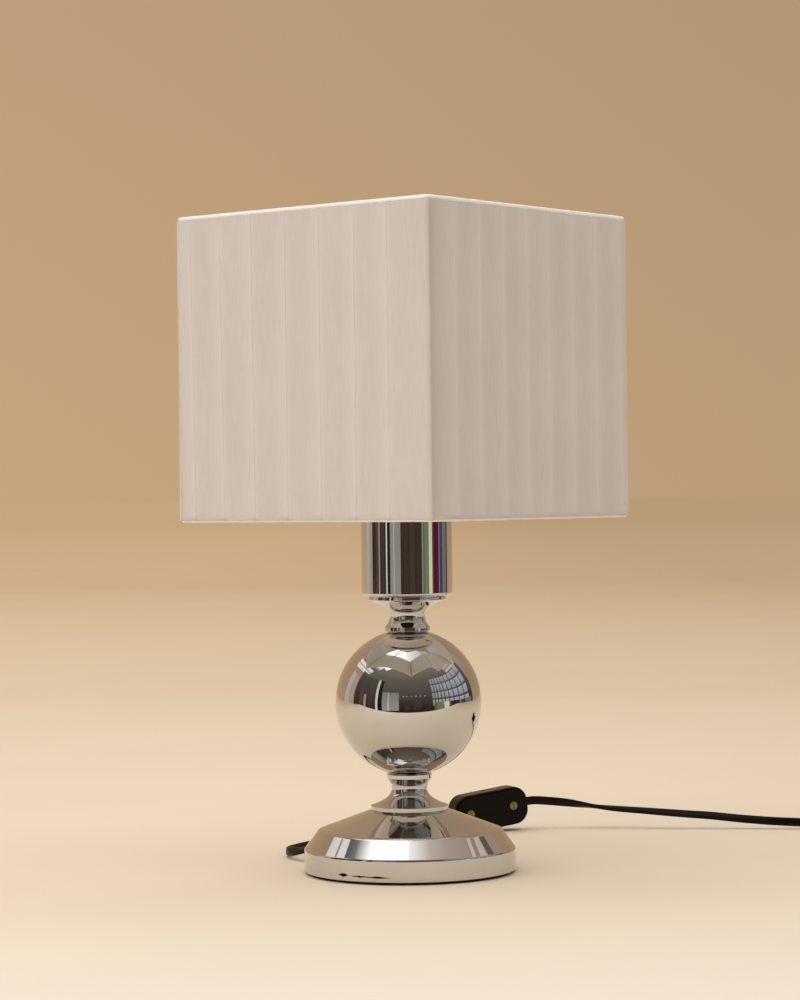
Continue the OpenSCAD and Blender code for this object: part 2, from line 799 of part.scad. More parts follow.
// Bulb
module bulb_form(inset) {
    r = bulb_r - inset;
    neck_r = bulb_neck_d / 2 - inset;
    touch = [r * cos(bulb_flank), bulb_mid - r * sin(bulb_flank)];
    neck_top = touch[1] - (touch[0] - neck_r) / tan(bulb_flank);
    intersection() {
        union() {
            translate([0, bulb_mid]) circle(r);
            polygon([[0, glass_z], [neck_r, glass_z], [neck_r, neck_top], touch, [0, touch[1]]]);
        }
        translate([0, glass_z]) square([bulb_d, bulb_h + over]);
    }
}
module bulb_glass() {
    color("white") rotate_extrude() difference() {
        bulb_form(0);
        bulb_form(bulb_t);
    }
}
module bulb_cap() { color(steel) disc(cap_d / 2, cap_bottom, glass_z); }
module bulb_insulator() {
    color(black) translate([0, 0, insulator_z])
        cylinder(d1 = insulator_low_d, d2 = insulator_top_d, h = insulator_h);
}
module bulb_contact() { color(steel) disc(contact_r, tip_z, insulator_z); }

// Switch, drawn lying along X with its rocker towards +Y
module at_switch() {
    translate([sw_at[0], sw_at[1], sw_z]) rotate([0, 0, sw_yaw]) rotate([0, -sw_tilt, 0]) children();
}
module plate(y0, y1) { translate([0, y1, 0]) rotate([90, 0, 0]) linear_extrude(y1 - y0) children(); }
module peg(r, y0, y1) { translate([0, y1, 0]) rotate([90, 0, 0]) cylinder(r = r, h = y1 - y0); }
module shell_outer() {
    hull() {
        plate(0, sw_half - sw_bevel) round_rect(sw_l, sw_w, sw_r, $fn = 32);
        plate(0, sw_half) round_rect(sw_l - 2 * sw_bevel, sw_w - 2 * sw_bevel, sw_r - sw_bevel, $fn = 32);
    }
}
module shell_inner() {
    plate(-over, sw_half - sw_wall) round_rect(sw_l - 2 * sw_wall, sw_w - 2 * sw_wall, sw_r - sw_wall);
}
module cord_holes() {
    translate([-sw_l, 0, 0]) rotate([0, 90, 0]) linear_extrude(2 * sw_l) cord_outline(cord_room);
}
module at_case_screws() { for (x = [-1, 1]) translate([x * sw_screw_gap / 2, 0, 0]) children(); }
module switch_back() {
    color(black) at_switch() difference() {
        union() {
            mirror([0, 1, 0]) difference() {
                shell_outer();
                shell_inner();
            }
            at_case_screws() peg(boss_r, floor_y, 0);
        }
        cord_holes();
        at_case_screws() {
            peg(screw_shank_r, -sw_half - over, over);
            peg(screw_head_r, -sw_half - over, head_t - sw_half);
        }
    }
}
module switch_front() {
    lug_in = rocker_w / 2 + lug_gap;
    color(black) at_switch() difference() {
        union() {
            difference() {
                shell_outer();
                shell_inner();
            }
            at_case_screws() peg(boss_r, 0, sw_half - sw_wall);
            for (s = [-1, 1]) translate([-lug_x, pivot_y - lug_x, s > 0 ? lug_in : -lug_in - lug_t])
                cube([2 * lug_x, sw_half - sw_wall - pivot_y + lug_x + eps, lug_t]);
        }
        cord_holes();
        at_case_screws() peg(screw_shank_r, -over, pilot);
        translate([-rocker_l / 2 - window_room, 0, -lug_in])
            cube([rocker_l + 2 * window_room, sw_t, 2 * lug_in]);
        translate([0, pivot_y, -sw_w]) cylinder(d = axle_d, h = 2 * sw_w);
    }
}
module case_screws() {
    color(brass) at_switch() at_case_screws() difference() {
        union() {
            peg(screw_head_r - head_room, head_sink - sw_half, head_t - sw_half);
            peg(screw_shank_r, head_t - sw_half - eps, pilot);
        }
        translate([-slot_w / 2, -sw_half, -sw_w]) cube([slot_w, head_sink + slot_h, 2 * sw_w]);
    }
}
module at_rocker(angle) {
    translate([0, pivot_y, 0]) rotate([0, 0, angle]) translate([0, -pivot_y, 0]) children();
}
module switch_rocker() {
    top = sw_half + rocker_out;
    low = pivot_y - axle_d / 2 - rocker_floor;
    color(black) at_switch() at_rocker(-rocker_tilt) difference() {
        union() {
            translate([0, 0, -rocker_w / 2]) linear_extrude(rocker_w) polygon([
                [-rocker_l / 2, low], [rocker_l / 2, low],
                [rocker_l / 2, top], [0, top - rocker_dip], [-rocker_l / 2, top]
            ]);
            peg(nose_r, nose_y, pivot_y);
        }
        translate([0, pivot_y, -rocker_w]) cylinder(r = axle_d / 2 + axle_room, h = 2 * rocker_w);
        peg(plunger_r + head_room, nose_y - over, pivot_y - axle_d / 2 - axle_roof);
    }
}
module rocker_axle() {
    half = rocker_w / 2 + lug_gap + lug_t;
    color(steel) at_switch() translate([0, pivot_y, -half]) cylinder(d = axle_d, h = 2 * half);
}
module rocker_plunger() {
    color(brass) at_switch() at_rocker(-rocker_tilt) {
        peg(plunger_r, nose_y, spring_y);
        translate([0, nose_y, 0]) sphere(plunger_r);
    }
}
module rocker_spring() {
    color(steel) at_switch() at_rocker(-rocker_tilt) difference() {
        peg(plunger_r - head_room, spring_y, pivot_y - axle_d / 2 - axle_roof);
        peg(plunger_r - head_room - spring_t, spring_y - over, pivot_y);
    }
}
module contact_plate() {
    color(brass) at_switch() translate([0, plate_y, 0]) rotate([0, 0, rocker_tilt])
        cube([plate_l, plate_t, plate_w], center = true);
}
module terminal_block(s) {
    translate([s > 0 ? block_end - block_l : -block_end, floor_y, -block_w / 2])
        cube([block_l, sw_half - sw_wall - floor_y - clamp_h - block_room, block_w]);
}
module strip(x0, x1, z0, z1, t) { translate([x0, floor_y, z0]) cube([x1 - x0, t, z1 - z0]); }
module switch_terminals() {
    post = plate_y - plate_t / 2 - plate_gap - floor_y;
    pad = post - pad_x * tan(rocker_tilt) - pad_gap;
    color(brass) at_switch() {
        terminal_block(-1);
        strip(-block_end, strip_w / 2, strip_z - strip_w, strip_z, strip_t);
        strip(-strip_w / 2, strip_w / 2, -plate_w / 2, strip_z, strip_t);
        strip(-strip_w / 2, strip_w / 2, -plate_w / 2, plate_w / 2, post);
        terminal_block(1);
        strip(pad_x - pad_l / 2, block_end, -strip_z, strip_w - strip_z, pad);
        strip(pad_x - pad_l / 2, pad_x + pad_l / 2, -strip_z, plate_w / 2, pad);
    }
}
module clamp_screws() {
    top = sw_half - sw_wall - clamp_h - block_room;
    color(steel) at_switch() for (s = [-1, 1]) translate([s * (block_end - block_l / 2), 0, 0])
        peg(clamp_r - eps, top, top + clamp_h);
}

// Cord and plug
module cord_to_switch() {
    color(black) tube_along(concat(lead_route, [
        concat(on_switch(-sw_l / 2 - cord_w), 0), concat(on_switch(-sw_l / 2 + cord_in), 0)
    ]), cord_section);
}
module cord_to_coil() {
    color(black) tube_along(concat(
        [concat(on_switch(sw_l / 2 - cord_in), 0), concat(on_switch(sw_l / 2 + cord_w), 0)],
        free_route, [concat(place(coil_first - coil_way * cord_w), 180), concat(place(coil_first), 180)]
    ), cord_section);
}
module cord_coil() { color(black) tube_along(coil_path, coil_section); }
module coil_tie() {
    deep = coil_out - coil_in + cord_t + 2 * tie_room;
    high = coil_step + cord_w + 2 * tie_room;
    bend = tie_t + tie_bend;
    color(black) translate([coil_at[0], coil_at[1], high / 2 + tie_t]) rotate([0, 0, tie_angle])
        translate([(coil_in + coil_out) / 2, tie_w / 2, 0]) rotate([90, 0, 0])
        linear_extrude(tie_w) difference() {
            round_rect(deep + 2 * tie_t, high + 2 * tie_t, bend);
            round_rect(deep, high, bend - tie_t);
        }
}
module at_plug() { translate([plug_x, plug_y, plug_z]) children(); }
module along_y(r, y0, y1) { translate([0, y0, 0]) rotate([-90, 0, 0]) cylinder(r = r, h = y1 - y0); }
module at_pins() { for (s = [-1, 1]) translate([s * pin_gap / 2, 0, 0]) children(); }
module plug_body() {
    half = plug_w / 2;
    waist = relief_l + plug_l / 2;
    color(black) at_plug() difference() {
        union() {
            intersection() {
                translate([0, 0, -plug_t / 2]) linear_extrude(plug_t) polygon([
                    [-plug_tail_w / 2, relief_l], [plug_tail_w / 2, relief_l],
                    [half - plug_nose, waist - plug_nose],
                    [half, waist], [half, front_y], [-half, front_y], [-half, waist],
                    [plug_nose - half, waist - plug_nose]
                ]);
                translate([-half, 0, 0]) rotate([90, 0, 90]) linear_extrude(plug_w) polygon([
                    [relief_l, -plug_tail_t / 2], [waist, -plug_t / 2], [front_y, -plug_t / 2],
                    [front_y, plug_t / 2], [waist, plug_t / 2], [relief_l, plug_tail_t / 2]
                ]);
            }
            rotate([-90, 0, 0]) cylinder(d1 = relief_d, d2 = plug_tail_t, h = relief_l + eps);
        }
        at_pins() along_y(pin_core_d / 2, front_y - embed, front_y + over);
    }
}
module plug_pins() {
    color(steel) at_plug() at_pins() {
        along_y(pin_core_d / 2, front_y - embed, front_y + sleeve_l);
        along_y(pin_d / 2, front_y + sleeve_l, front_y + pin_l - pin_taper);
        translate([0, front_y + pin_l - pin_taper, 0]) rotate([-90, 0, 0])
            cylinder(d1 = pin_d, d2 = pin_d / 2, h = pin_taper);
    }
}
module pin_sleeves() {
    color(black) at_plug() at_pins() difference() {
        along_y((pin_d - sleeve_step) / 2, front_y, front_y + sleeve_l);
        along_y(pin_core_d / 2, front_y - over, front_y + sleeve_l + over);
    }
}

base_shell();
base_weight();
bottom_cover();
felt_pad();
cord_bushing();
bushing_nut();
threaded_tube();
tube_nuts();
tube_washers();
lower_neck();
ball();
upper_neck();
socket_cup();
inner_lead();
holder_cap();
holder_body();
holder_insert();
screw_shell();
centre_contact();
holder_terminals();
holder_screws();
holder_ring();
shade_ring();
fitter_ring();
fitter_arms();
bottom_frame();
top_frame();
corner_struts();
shade_cover();
top_hem();
bottom_hem();
bulb_glass();
bulb_cap();
bulb_insulator();
bulb_contact();
switch_back();
switch_front();
case_screws();
switch_rocker();
rocker_axle();
rocker_plunger();
rocker_spring();
contact_plate();
switch_terminals();
clamp_screws();
cord_to_switch();
cord_to_coil();
cord_coil();
coil_tie();
plug_body();
plug_pins();
pin_sleeves();
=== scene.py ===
"""Table lamp: chrome ball stem, square pleated shade, flat cord with a rocker switch."""

import json
import math

import bmesh
import bpy
from mathutils import Matrix, Quaternion, Vector
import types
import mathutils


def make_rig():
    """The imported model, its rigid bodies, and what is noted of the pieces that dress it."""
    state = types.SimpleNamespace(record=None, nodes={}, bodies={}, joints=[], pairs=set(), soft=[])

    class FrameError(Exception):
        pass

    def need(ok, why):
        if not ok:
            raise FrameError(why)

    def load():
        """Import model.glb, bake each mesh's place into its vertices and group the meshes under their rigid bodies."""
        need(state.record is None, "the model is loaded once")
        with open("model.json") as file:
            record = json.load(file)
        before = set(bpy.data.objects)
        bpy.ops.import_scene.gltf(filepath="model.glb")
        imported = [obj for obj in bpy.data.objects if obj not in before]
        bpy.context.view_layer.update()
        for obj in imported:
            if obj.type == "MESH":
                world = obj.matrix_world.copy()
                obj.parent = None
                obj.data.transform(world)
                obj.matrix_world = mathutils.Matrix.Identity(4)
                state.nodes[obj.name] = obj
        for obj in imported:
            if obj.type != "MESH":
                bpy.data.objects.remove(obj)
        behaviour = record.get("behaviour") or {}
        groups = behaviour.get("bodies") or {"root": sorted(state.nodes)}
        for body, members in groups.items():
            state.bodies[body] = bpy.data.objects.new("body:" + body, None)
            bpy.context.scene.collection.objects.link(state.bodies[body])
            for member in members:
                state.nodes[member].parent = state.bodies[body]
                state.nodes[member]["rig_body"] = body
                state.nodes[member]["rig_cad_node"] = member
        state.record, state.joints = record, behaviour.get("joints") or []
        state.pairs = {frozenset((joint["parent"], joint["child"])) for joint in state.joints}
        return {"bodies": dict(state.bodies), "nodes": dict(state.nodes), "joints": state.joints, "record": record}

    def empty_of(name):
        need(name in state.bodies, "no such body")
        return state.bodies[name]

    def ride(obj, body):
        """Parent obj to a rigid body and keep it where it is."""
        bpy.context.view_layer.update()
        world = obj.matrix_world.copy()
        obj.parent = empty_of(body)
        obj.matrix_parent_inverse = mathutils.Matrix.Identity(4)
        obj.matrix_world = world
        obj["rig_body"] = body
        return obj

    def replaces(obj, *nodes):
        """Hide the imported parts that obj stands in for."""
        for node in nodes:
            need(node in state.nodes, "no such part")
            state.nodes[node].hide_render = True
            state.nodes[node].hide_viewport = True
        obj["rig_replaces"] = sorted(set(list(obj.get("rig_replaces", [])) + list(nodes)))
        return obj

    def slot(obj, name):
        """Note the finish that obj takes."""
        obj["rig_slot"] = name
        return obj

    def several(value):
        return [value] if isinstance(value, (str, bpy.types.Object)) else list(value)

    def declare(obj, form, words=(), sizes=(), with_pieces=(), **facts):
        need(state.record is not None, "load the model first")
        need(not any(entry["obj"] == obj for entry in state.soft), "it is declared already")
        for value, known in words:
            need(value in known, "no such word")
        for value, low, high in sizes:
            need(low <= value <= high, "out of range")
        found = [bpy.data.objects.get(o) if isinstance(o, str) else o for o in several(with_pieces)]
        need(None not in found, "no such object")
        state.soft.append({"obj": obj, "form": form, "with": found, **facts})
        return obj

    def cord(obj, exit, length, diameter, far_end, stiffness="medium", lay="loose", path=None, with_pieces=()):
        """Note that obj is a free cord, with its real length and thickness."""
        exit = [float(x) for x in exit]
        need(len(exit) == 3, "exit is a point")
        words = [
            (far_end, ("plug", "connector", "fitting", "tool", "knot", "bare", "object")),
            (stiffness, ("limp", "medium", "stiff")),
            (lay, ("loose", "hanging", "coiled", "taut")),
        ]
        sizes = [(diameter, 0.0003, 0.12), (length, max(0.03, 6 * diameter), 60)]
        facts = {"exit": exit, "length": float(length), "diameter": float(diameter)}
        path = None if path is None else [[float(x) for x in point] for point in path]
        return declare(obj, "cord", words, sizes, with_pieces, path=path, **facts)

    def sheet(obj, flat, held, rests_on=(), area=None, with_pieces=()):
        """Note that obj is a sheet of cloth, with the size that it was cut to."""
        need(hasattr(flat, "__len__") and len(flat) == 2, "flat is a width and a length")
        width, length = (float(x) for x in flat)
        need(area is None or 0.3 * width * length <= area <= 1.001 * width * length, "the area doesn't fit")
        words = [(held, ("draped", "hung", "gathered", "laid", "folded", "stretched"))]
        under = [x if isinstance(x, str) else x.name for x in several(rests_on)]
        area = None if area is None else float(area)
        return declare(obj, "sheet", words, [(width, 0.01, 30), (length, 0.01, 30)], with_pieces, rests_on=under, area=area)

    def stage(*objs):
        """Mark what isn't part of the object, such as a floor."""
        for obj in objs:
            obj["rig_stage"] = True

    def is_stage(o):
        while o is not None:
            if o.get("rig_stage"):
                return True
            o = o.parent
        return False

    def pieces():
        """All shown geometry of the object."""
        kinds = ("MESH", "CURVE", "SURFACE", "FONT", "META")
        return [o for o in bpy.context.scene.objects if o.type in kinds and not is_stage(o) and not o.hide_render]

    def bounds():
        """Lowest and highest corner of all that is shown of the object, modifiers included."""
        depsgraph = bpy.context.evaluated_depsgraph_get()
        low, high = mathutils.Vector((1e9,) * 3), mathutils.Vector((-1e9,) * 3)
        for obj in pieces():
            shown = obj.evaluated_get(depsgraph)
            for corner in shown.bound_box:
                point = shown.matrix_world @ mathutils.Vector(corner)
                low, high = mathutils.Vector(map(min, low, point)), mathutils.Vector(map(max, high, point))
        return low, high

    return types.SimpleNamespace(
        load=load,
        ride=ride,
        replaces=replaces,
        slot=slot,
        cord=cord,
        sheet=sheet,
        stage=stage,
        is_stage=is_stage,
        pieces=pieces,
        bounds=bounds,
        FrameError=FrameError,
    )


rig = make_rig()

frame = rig.load()
cad_low, cad_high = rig.bounds()
nodes = frame["nodes"]
scene = bpy.context.scene
scene.view_settings.view_transform = "Standard"
MM = 0.001

# Camera, at the photograph's viewing angle
CAMERA_AT = (0.9993, -1.2279, 0.2078)
CAMERA_AHEAD = (-0.6328, 0.7743, -0.0027)
CAMERA_ROLL = math.radians(-0.69)
CAMERA_LENS = 104.1
CAMERA_SEES = 100
TO_CAMERA = Vector((0.6328, -0.7743, 0))
TO_RIGHT = Vector((0.7743, 0.6328, 0))


def make_camera():
    data = bpy.data.cameras.new("lamp_camera")
    data.lens = CAMERA_LENS
    data.clip_end = CAMERA_SEES
    camera = bpy.data.objects.new("lamp_camera", data)
    scene.collection.objects.link(camera)
    camera.location = CAMERA_AT
    camera.rotation_mode = "QUATERNION"
    aim = Vector(CAMERA_AHEAD).to_track_quat("-Z", "Y")
    camera.rotation_quaternion = aim @ Quaternion((0, 0, 1), CAMERA_ROLL)
    scene.camera = camera


# Shared mesh helpers
SHARP = math.radians(32)
LONG_MM = 4
HOLD_MM = 0.12
MERGE_MM = 0.001
CLOSE = 1e-7
EVEN = math.radians(0.5)
RIM_STEPS = 4


def piece(name, bm, body, finish, slot, *stands_for):
    """A finished mesh as an object that rides on a body."""
    for face in bm.faces:
        face.smooth = True
    for edge in bm.edges:
        if edge.is_manifold and edge.calc_face_angle(0) > SHARP:
            edge.smooth = False
    mesh = bpy.data.meshes.new(name)
    bm.to_mesh(mesh)
    bm.free()
    mesh.materials.append(finish)
    made = bpy.data.objects.new(name, mesh)
    scene.collection.objects.link(made)
    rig.ride(made, body)
    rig.slot(made, slot)
    if stands_for:
        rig.replaces(made, *stands_for)
    return made


def arc(r, z, radius, start, end, steps):
    """Points on an arc in a turned profile, angles in degrees from outwards to up."""
    turns = [math.radians(start + (end - start) * i / steps) for i in range(steps + 1)]
    return [(r + radius * math.cos(a), z + radius * math.sin(a)) for a in turns]


def rounded(corners, steps):
    """A closed profile whose corners (r, z, rounding) are rounded off."""
    points = []
    count = len(corners)
    for i, (r, z, radius) in enumerate(corners):
        here = Vector((r, z))
        if not radius:
            points.append(tuple(here))
            continue
        before = (Vector(corners[i - 1][:2]) - here).normalized()
        after = (Vector(corners[(i + 1) % count][:2]) - here).normalized()
        half = before.angle(after) / 2
        reach = radius / math.tan(half)
        middle = here + (before + after).normalized() * radius / math.sin(half)
        first = here + before * reach - middle
        turn = first.angle_signed(here + after * reach - middle)
        for k in range(steps + 1):
            swing = Matrix.Rotation(-turn * k / steps, 2)
            points.append(tuple(middle + swing @ first))
    return points


def held_flat(profile):
    """The closed profile with a point close to each end of its long straights, so they shade flat."""
    points = []
    for start, end in zip(profile, profile[1:] + profile[:1]):
        a, b = Vector(start), Vector(end)
        points.append(start)
        if (b - a).length > LONG_MM:
            near = HOLD_MM / (b - a).length
            points += [tuple(a.lerp(b, share)) for share in (near, 1 - near)]
    return points


def turned(name, profile, steps, body, finish, slot, *stands_for):
    """A closed profile (r, z) in millimetres, spun round the lamp's axis."""
    bm = bmesh.new()
    ring = [bm.verts.new((r * MM, 0, z * MM)) for r, z in held_flat(profile)]
    edges = [bm.edges.new((ring[i - 1], ring[i])) for i in range(len(ring))]
    bmesh.ops.spin(
        bm, geom=ring + edges, cent=(0, 0, 0), axis=(0, 0, 1),
        angle=math.tau, steps=steps, use_merge=True,
    )
    bmesh.ops.remove_doubles(bm, verts=bm.verts, dist=CLOSE)
    bmesh.ops.recalc_face_normals(bm, faces=bm.faces)
    return piece(name, bm, body, finish, slot, *stands_for)


def bent_grid(across, along, place, span=(1, 1)):
    """A grid bent over a form: place(u, v) gives each corner, and span the UV map's size in metres."""
    bm = bmesh.new()
    bmesh.ops.create_grid(bm, x_segments=across, y_segments=along, size=1)
    uv = bm.loops.layers.uv.new("UVMap")
    for face in bm.faces:
        for loop in face.loops:
            at = loop.vert.co
            loop[uv].uv = ((at.x + 1) / 2 * span[0], (at.y + 1) / 2 * span[1])
    for vert in bm.verts:
        vert.co = place((vert.co.x + 1) / 2, (vert.co.y + 1) / 2)
    bmesh.ops.remove_doubles(bm, verts=bm.verts, dist=CLOSE)
    return bm


def close_ends(bm):
    bmesh.ops.holes_fill(bm, edges=[e for e in bm.edges if e.is_boundary], sides=0)
    bmesh.ops.recalc_face_normals(bm, faces=bm.faces)


def softened(name, source, width, chosen, body, finish, slot):
    """A moulding with rounded rims: the node's mesh, merged, with the chosen edges bevelled."""
    bm = bmesh.new()
    bm.from_mesh(nodes[source].data)
    bmesh.ops.remove_doubles(bm, verts=bm.verts, dist=MERGE_MM * MM)
    bmesh.ops.dissolve_limit(bm, angle_limit=EVEN, verts=bm.verts, edges=bm.edges)
    rims = [edge for edge in bm.edges if edge.is_manifold and edge.is_convex and chosen(edge)]
    bmesh.ops.bevel(
        bm, geom=rims, offset=width * MM, offset_type="OFFSET", affect="EDGES",
        segments=RIM_STEPS, profile=0.5, material=-1, clamp_overlap=False,
    )
    made = piece(name, bm, body, finish, slot, source)
    shading = made.modifiers.new("even_shading", "WEIGHTED_NORMAL")
    shading.keep_sharp = True
    return made


# Finishes
GRAIN = (0.3, 0.7)


def node(tree, kind, values=(), **settings):
    made = tree.nodes.new("ShaderNode" + kind)
    for key, value in settings.items():
        setattr(made, key, value)
    for key, value in values:
        made.inputs[key].default_value = value
    return made


def colour(r, g, b):
    """A colour as it is seen, 0 to 255, turned to the linear value that sockets take."""
    def linear(c):
        c /= 255
        return c / 12.92 if c <= 0.04045 else ((c + 0.055) / 1.055) ** 2.4
    return (linear(r), linear(g), linear(b), 1)


def shader(name):
    made = bpy.data.materials.new(name)
    made.use_nodes = True
    tree = made.node_tree
    return made, tree, tree.nodes["Principled BSDF"]


def mixed(tree, share, a, b):
    """A colour between a and b, by a linked share."""
    made = node(tree, "Mix", data_type="RGBA")
    tree.links.new(share, made.inputs["Factor"])
    for socket, value in ((made.inputs["A"], a), (made.inputs["B"], b)):
        if isinstance(value, tuple):
            socket.default_value = value
        else:
            tree.links.new(value, socket)
    return made.outputs["Result"]


def math_of(tree, operation, a, b=0.0):
    """A sum or other operation of two values, each linked or plain."""
    made = node(tree, "Math", operation=operation)
    for socket, value in zip(made.inputs, (a, b)):
        if isinstance(value, float):
            socket.default_value = value
        else:
            tree.links.new(value, socket)
    return made.outputs[0]


def ranged(tree, value, low, high, new_low, new_high):
    """A linked value's range taken over to a new one."""
    made = node(tree, "MapRange", [(1, low), (2, high), (3, new_low), (4, new_high)])
    tree.links.new(value, made.inputs[0])
    return made.outputs[0]


def spread(tree, grain, low, high):
    """The usual range of a noise taken over to a new one."""
    return ranged(tree, grain, *GRAIN, low, high)


def dimmed(tree, tone, share):
    """A colour times a linked share."""
    made = node(tree, "Mix", [("Factor", 1.0)], data_type="RGBA", blend_type="MULTIPLY")
    tree.links.new(tone, made.inputs["A"])
    tree.links.new(share, made.inputs["B"])
    return made.outputs["Result"]


def noise(tree, where, scale, detail=4, stretch=(1, 1, 1)):
    mapped = node(tree, "Mapping", [("Scale", stretch)])
    made = node(tree, "TexNoise", [("Scale", scale), ("Detail", detail)])
    tree.links.new(where, mapped.inputs["Vector"])
    tree.links.new(mapped.outputs[0], made.inputs["Vector"])
    return made.outputs["Fac"]


def relief(tree, bsdf, height, distance):
    made = node(tree, "Bump", [("Strength", 1.0), ("Distance", distance)])
    tree.links.new(height, made.inputs["Height"])
    tree.links.new(made.outputs[0], bsdf.inputs["Normal"])


def mottled(name, dark, light, rough, metal=0.0, scale=400, bump=0.00002, **sockets):
    """Two close tones by fine noise, with roughness and relief from the same noise."""
    made, tree, bsdf = shader(name)
    where = node(tree, "TexCoord").outputs["Object"]
    grain = noise(tree, where, scale)
    tree.links.new(mixed(tree, spread(tree, grain, 0, 1), dark, light), bsdf.inputs["Base Color"])
    tree.links.new(spread(tree, grain, *rough), bsdf.inputs["Roughness"])
    bsdf.inputs["Metallic"].default_value = metal
    for key, value in sockets.items():
        bsdf.inputs[key.replace("_", " ")].default_value = value
    if bump:
        relief(tree, bsdf, grain, bump)
    return made


# Chips in the plate: from and to in degrees round the skirt, height and half width in metres
CHIPS = [(-92.6, -85.5, 0.0046, 0.0011), (-85.0, -72.0, 0.0043, 0.0005), (-76.0, -60.5, 0.0041, 0.0006)]
CHIP_RAGGED = 0.0002
CHIP_TONE = (0.02, 0.014, 0.01, 1)
CHIP_ROUGH = 0.5
PLATE_TONES = ((0.6, 0.59, 0.575, 1), (0.66, 0.65, 0.635, 1))
PLATE_ROUGH = (0.025, 0.06)


def make_chrome():
    """Bright plate with faint wipe marks, and chips in the plate low on the skirt."""
    made, tree, bsdf = shader("chrome_plate")
    where = node(tree, "TexCoord").outputs["Object"]
    wipe = noise(tree, where, 90, detail=6, stretch=(1, 1, 0.3))
    cloud = noise(tree, where, 35, detail=3)
    tone = mixed(tree, spread(tree, cloud, 0, 1), *PLATE_TONES)
    apart = node(tree, "SeparateXYZ")
    tree.links.new(where, apart.inputs[0])
    round_at = math_of(tree, "ARCTAN2", apart.outputs["Y"], apart.outputs["X"])
    ragged = spread(tree, noise(tree, where, 420, detail=5), -CHIP_RAGGED, CHIP_RAGGED)
    level = math_of(tree, "ADD", ragged, apart.outputs["Z"])
    chip = 0.0
    for start, end, z, tall in CHIPS:
        half = math.radians(end - start) / 2
        middle = math.radians(start) + half
        aside = math_of(tree, "ABSOLUTE", math_of(tree, "SUBTRACT", round_at, middle))
        above = math_of(tree, "ABSOLUTE", math_of(tree, "SUBTRACT", level, z))
        near = math_of(tree, "LESS_THAN", above, ranged(tree, aside, 0, half, tall, 0))
        chip = math_of(tree, "MAXIMUM", near, chip)
    tree.links.new(mixed(tree, chip, tone, CHIP_TONE), bsdf.inputs["Base Color"])
    worn = math_of(tree, "MULTIPLY", chip, CHIP_ROUGH)
    polish = ranged(tree, wipe, 0.35, 0.7, *PLATE_ROUGH)
    tree.links.new(math_of(tree, "ADD", worn, polish), bsdf.inputs["Roughness"])
    bsdf.inputs["Metallic"].default_value = 1
    return made


# Tone of the painted shade on the cloth, under the bindings and just past a corner
PAINTED_SHADE_TONE = (0.72, 0.68, 0.64, 1)
THREAD_WANDER = 0.6
SLUB_TONES = (0.93, 1.0)
CLOUD_TONES = (-0.02, 0.02)
CLOTH_ROUGH = 0.85
CLOTH_SHEEN = 0.15
SHEEN_ROUGH = 0.5
CLOTH_RELIEF = 0.00003


def make_fabric(name, thin, layered_and_highlit, weave_mm):
    """Fine cloth: crossed threads on the UV map, slubs along it, lighter where it lies in layers and in a painted
    highlight past each fold, darker in painted shade under the bindings and past a corner.
    """
    made, tree, bsdf = shader(name)
    uv = node(tree, "UVMap", uv_map="UVMap").outputs[0]
    waves = []
    for way in ("X", "Y"):
        fine = [("Scale", 1 / (weave_mm * MM) / math.tau), ("Distortion", THREAD_WANDER)]
        wave = node(tree, "TexWave", fine, bands_direction=way)
        tree.links.new(uv, wave.inputs["Vector"])
        waves.append(wave.outputs["Fac"])
    weave = math_of(tree, "MULTIPLY", *waves)
    slub = noise(tree, uv, 260, detail=5, stretch=(4, 0.25, 1))
    cloud = noise(tree, uv, 22, detail=3)
    # Lighter where the cloth lies in layers, and a painted highlight just past each fold edge
    layers = node(tree, "Attribute", attribute_name="layers").outputs["Fac"]
    shade = math_of(tree, "ADD", spread(tree, slub, *SLUB_TONES), spread(tree, cloud, *CLOUD_TONES))
    tone = dimmed(tree, mixed(tree, layers, thin, layered_and_highlit), shade)
    # Painted shade: the cloth darkened under the bindings and just past a corner
    painted_shade = node(tree, "Attribute", attribute_name="painted_shade").outputs["Fac"]
    shaded_tone = node(tree, "Mix", [("B", PAINTED_SHADE_TONE)], data_type="RGBA", blend_type="MULTIPLY")
    tree.links.new(painted_shade, shaded_tone.inputs["Factor"])
    tree.links.new(tone, shaded_tone.inputs["A"])
    tree.links.new(shaded_tone.outputs["Result"], bsdf.inputs["Base Color"])
    bsdf.inputs["Roughness"].default_value = CLOTH_ROUGH
    bsdf.inputs["Sheen Weight"].default_value = CLOTH_SHEEN
    bsdf.inputs["Sheen Roughness"].default_value = SHEEN_ROUGH
    relief(tree, bsdf, math_of(tree, "ADD", weave, slub), CLOTH_RELIEF)
    return made


CHROME = make_chrome()
COVER = make_fabric("shade_cloth", colour(216, 206, 198), colour(224, 215, 207), 0.4)
LINING = make_fabric("shade_lining", colour(240, 236, 230), colour(240, 236, 230), 0.45)
TAPE = make_fabric("hem_tape", colour(254, 252, 249), colour(254, 252, 249), 0.4)
BLACK = mottled(
    "black_moulding", (0.003, 0.0015, 0.001, 1), (0.005, 0.0026, 0.0018, 1), (0.12, 0.2), 0, 300, 0.000003,
    Specular_IOR_Level=0.12,
)
CORD = mottled(
    "black_cord_sheath", (0.003, 0.0016, 0.001, 1), (0.005, 0.003, 0.002, 1), (0.3, 0.4), 0, 300, 0.000006,
    Specular_IOR_Level=0.18,
)
BRASS = mottled("dull_brass", (0.22, 0.19, 0.07, 1), (0.36, 0.31, 0.13, 1), (0.28, 0.45), 1, scale=600)
STEEL = mottled("plain_steel", (0.42, 0.41, 0.4, 1), (0.55, 0.54, 0.52, 1), (0.25, 0.4), 1, scale=500)
IRON = mottled("cast_iron", (0.03, 0.03, 0.03, 1), (0.07, 0.066, 0.06, 1), (0.6, 0.85), 0.6, 300, 0.0002)
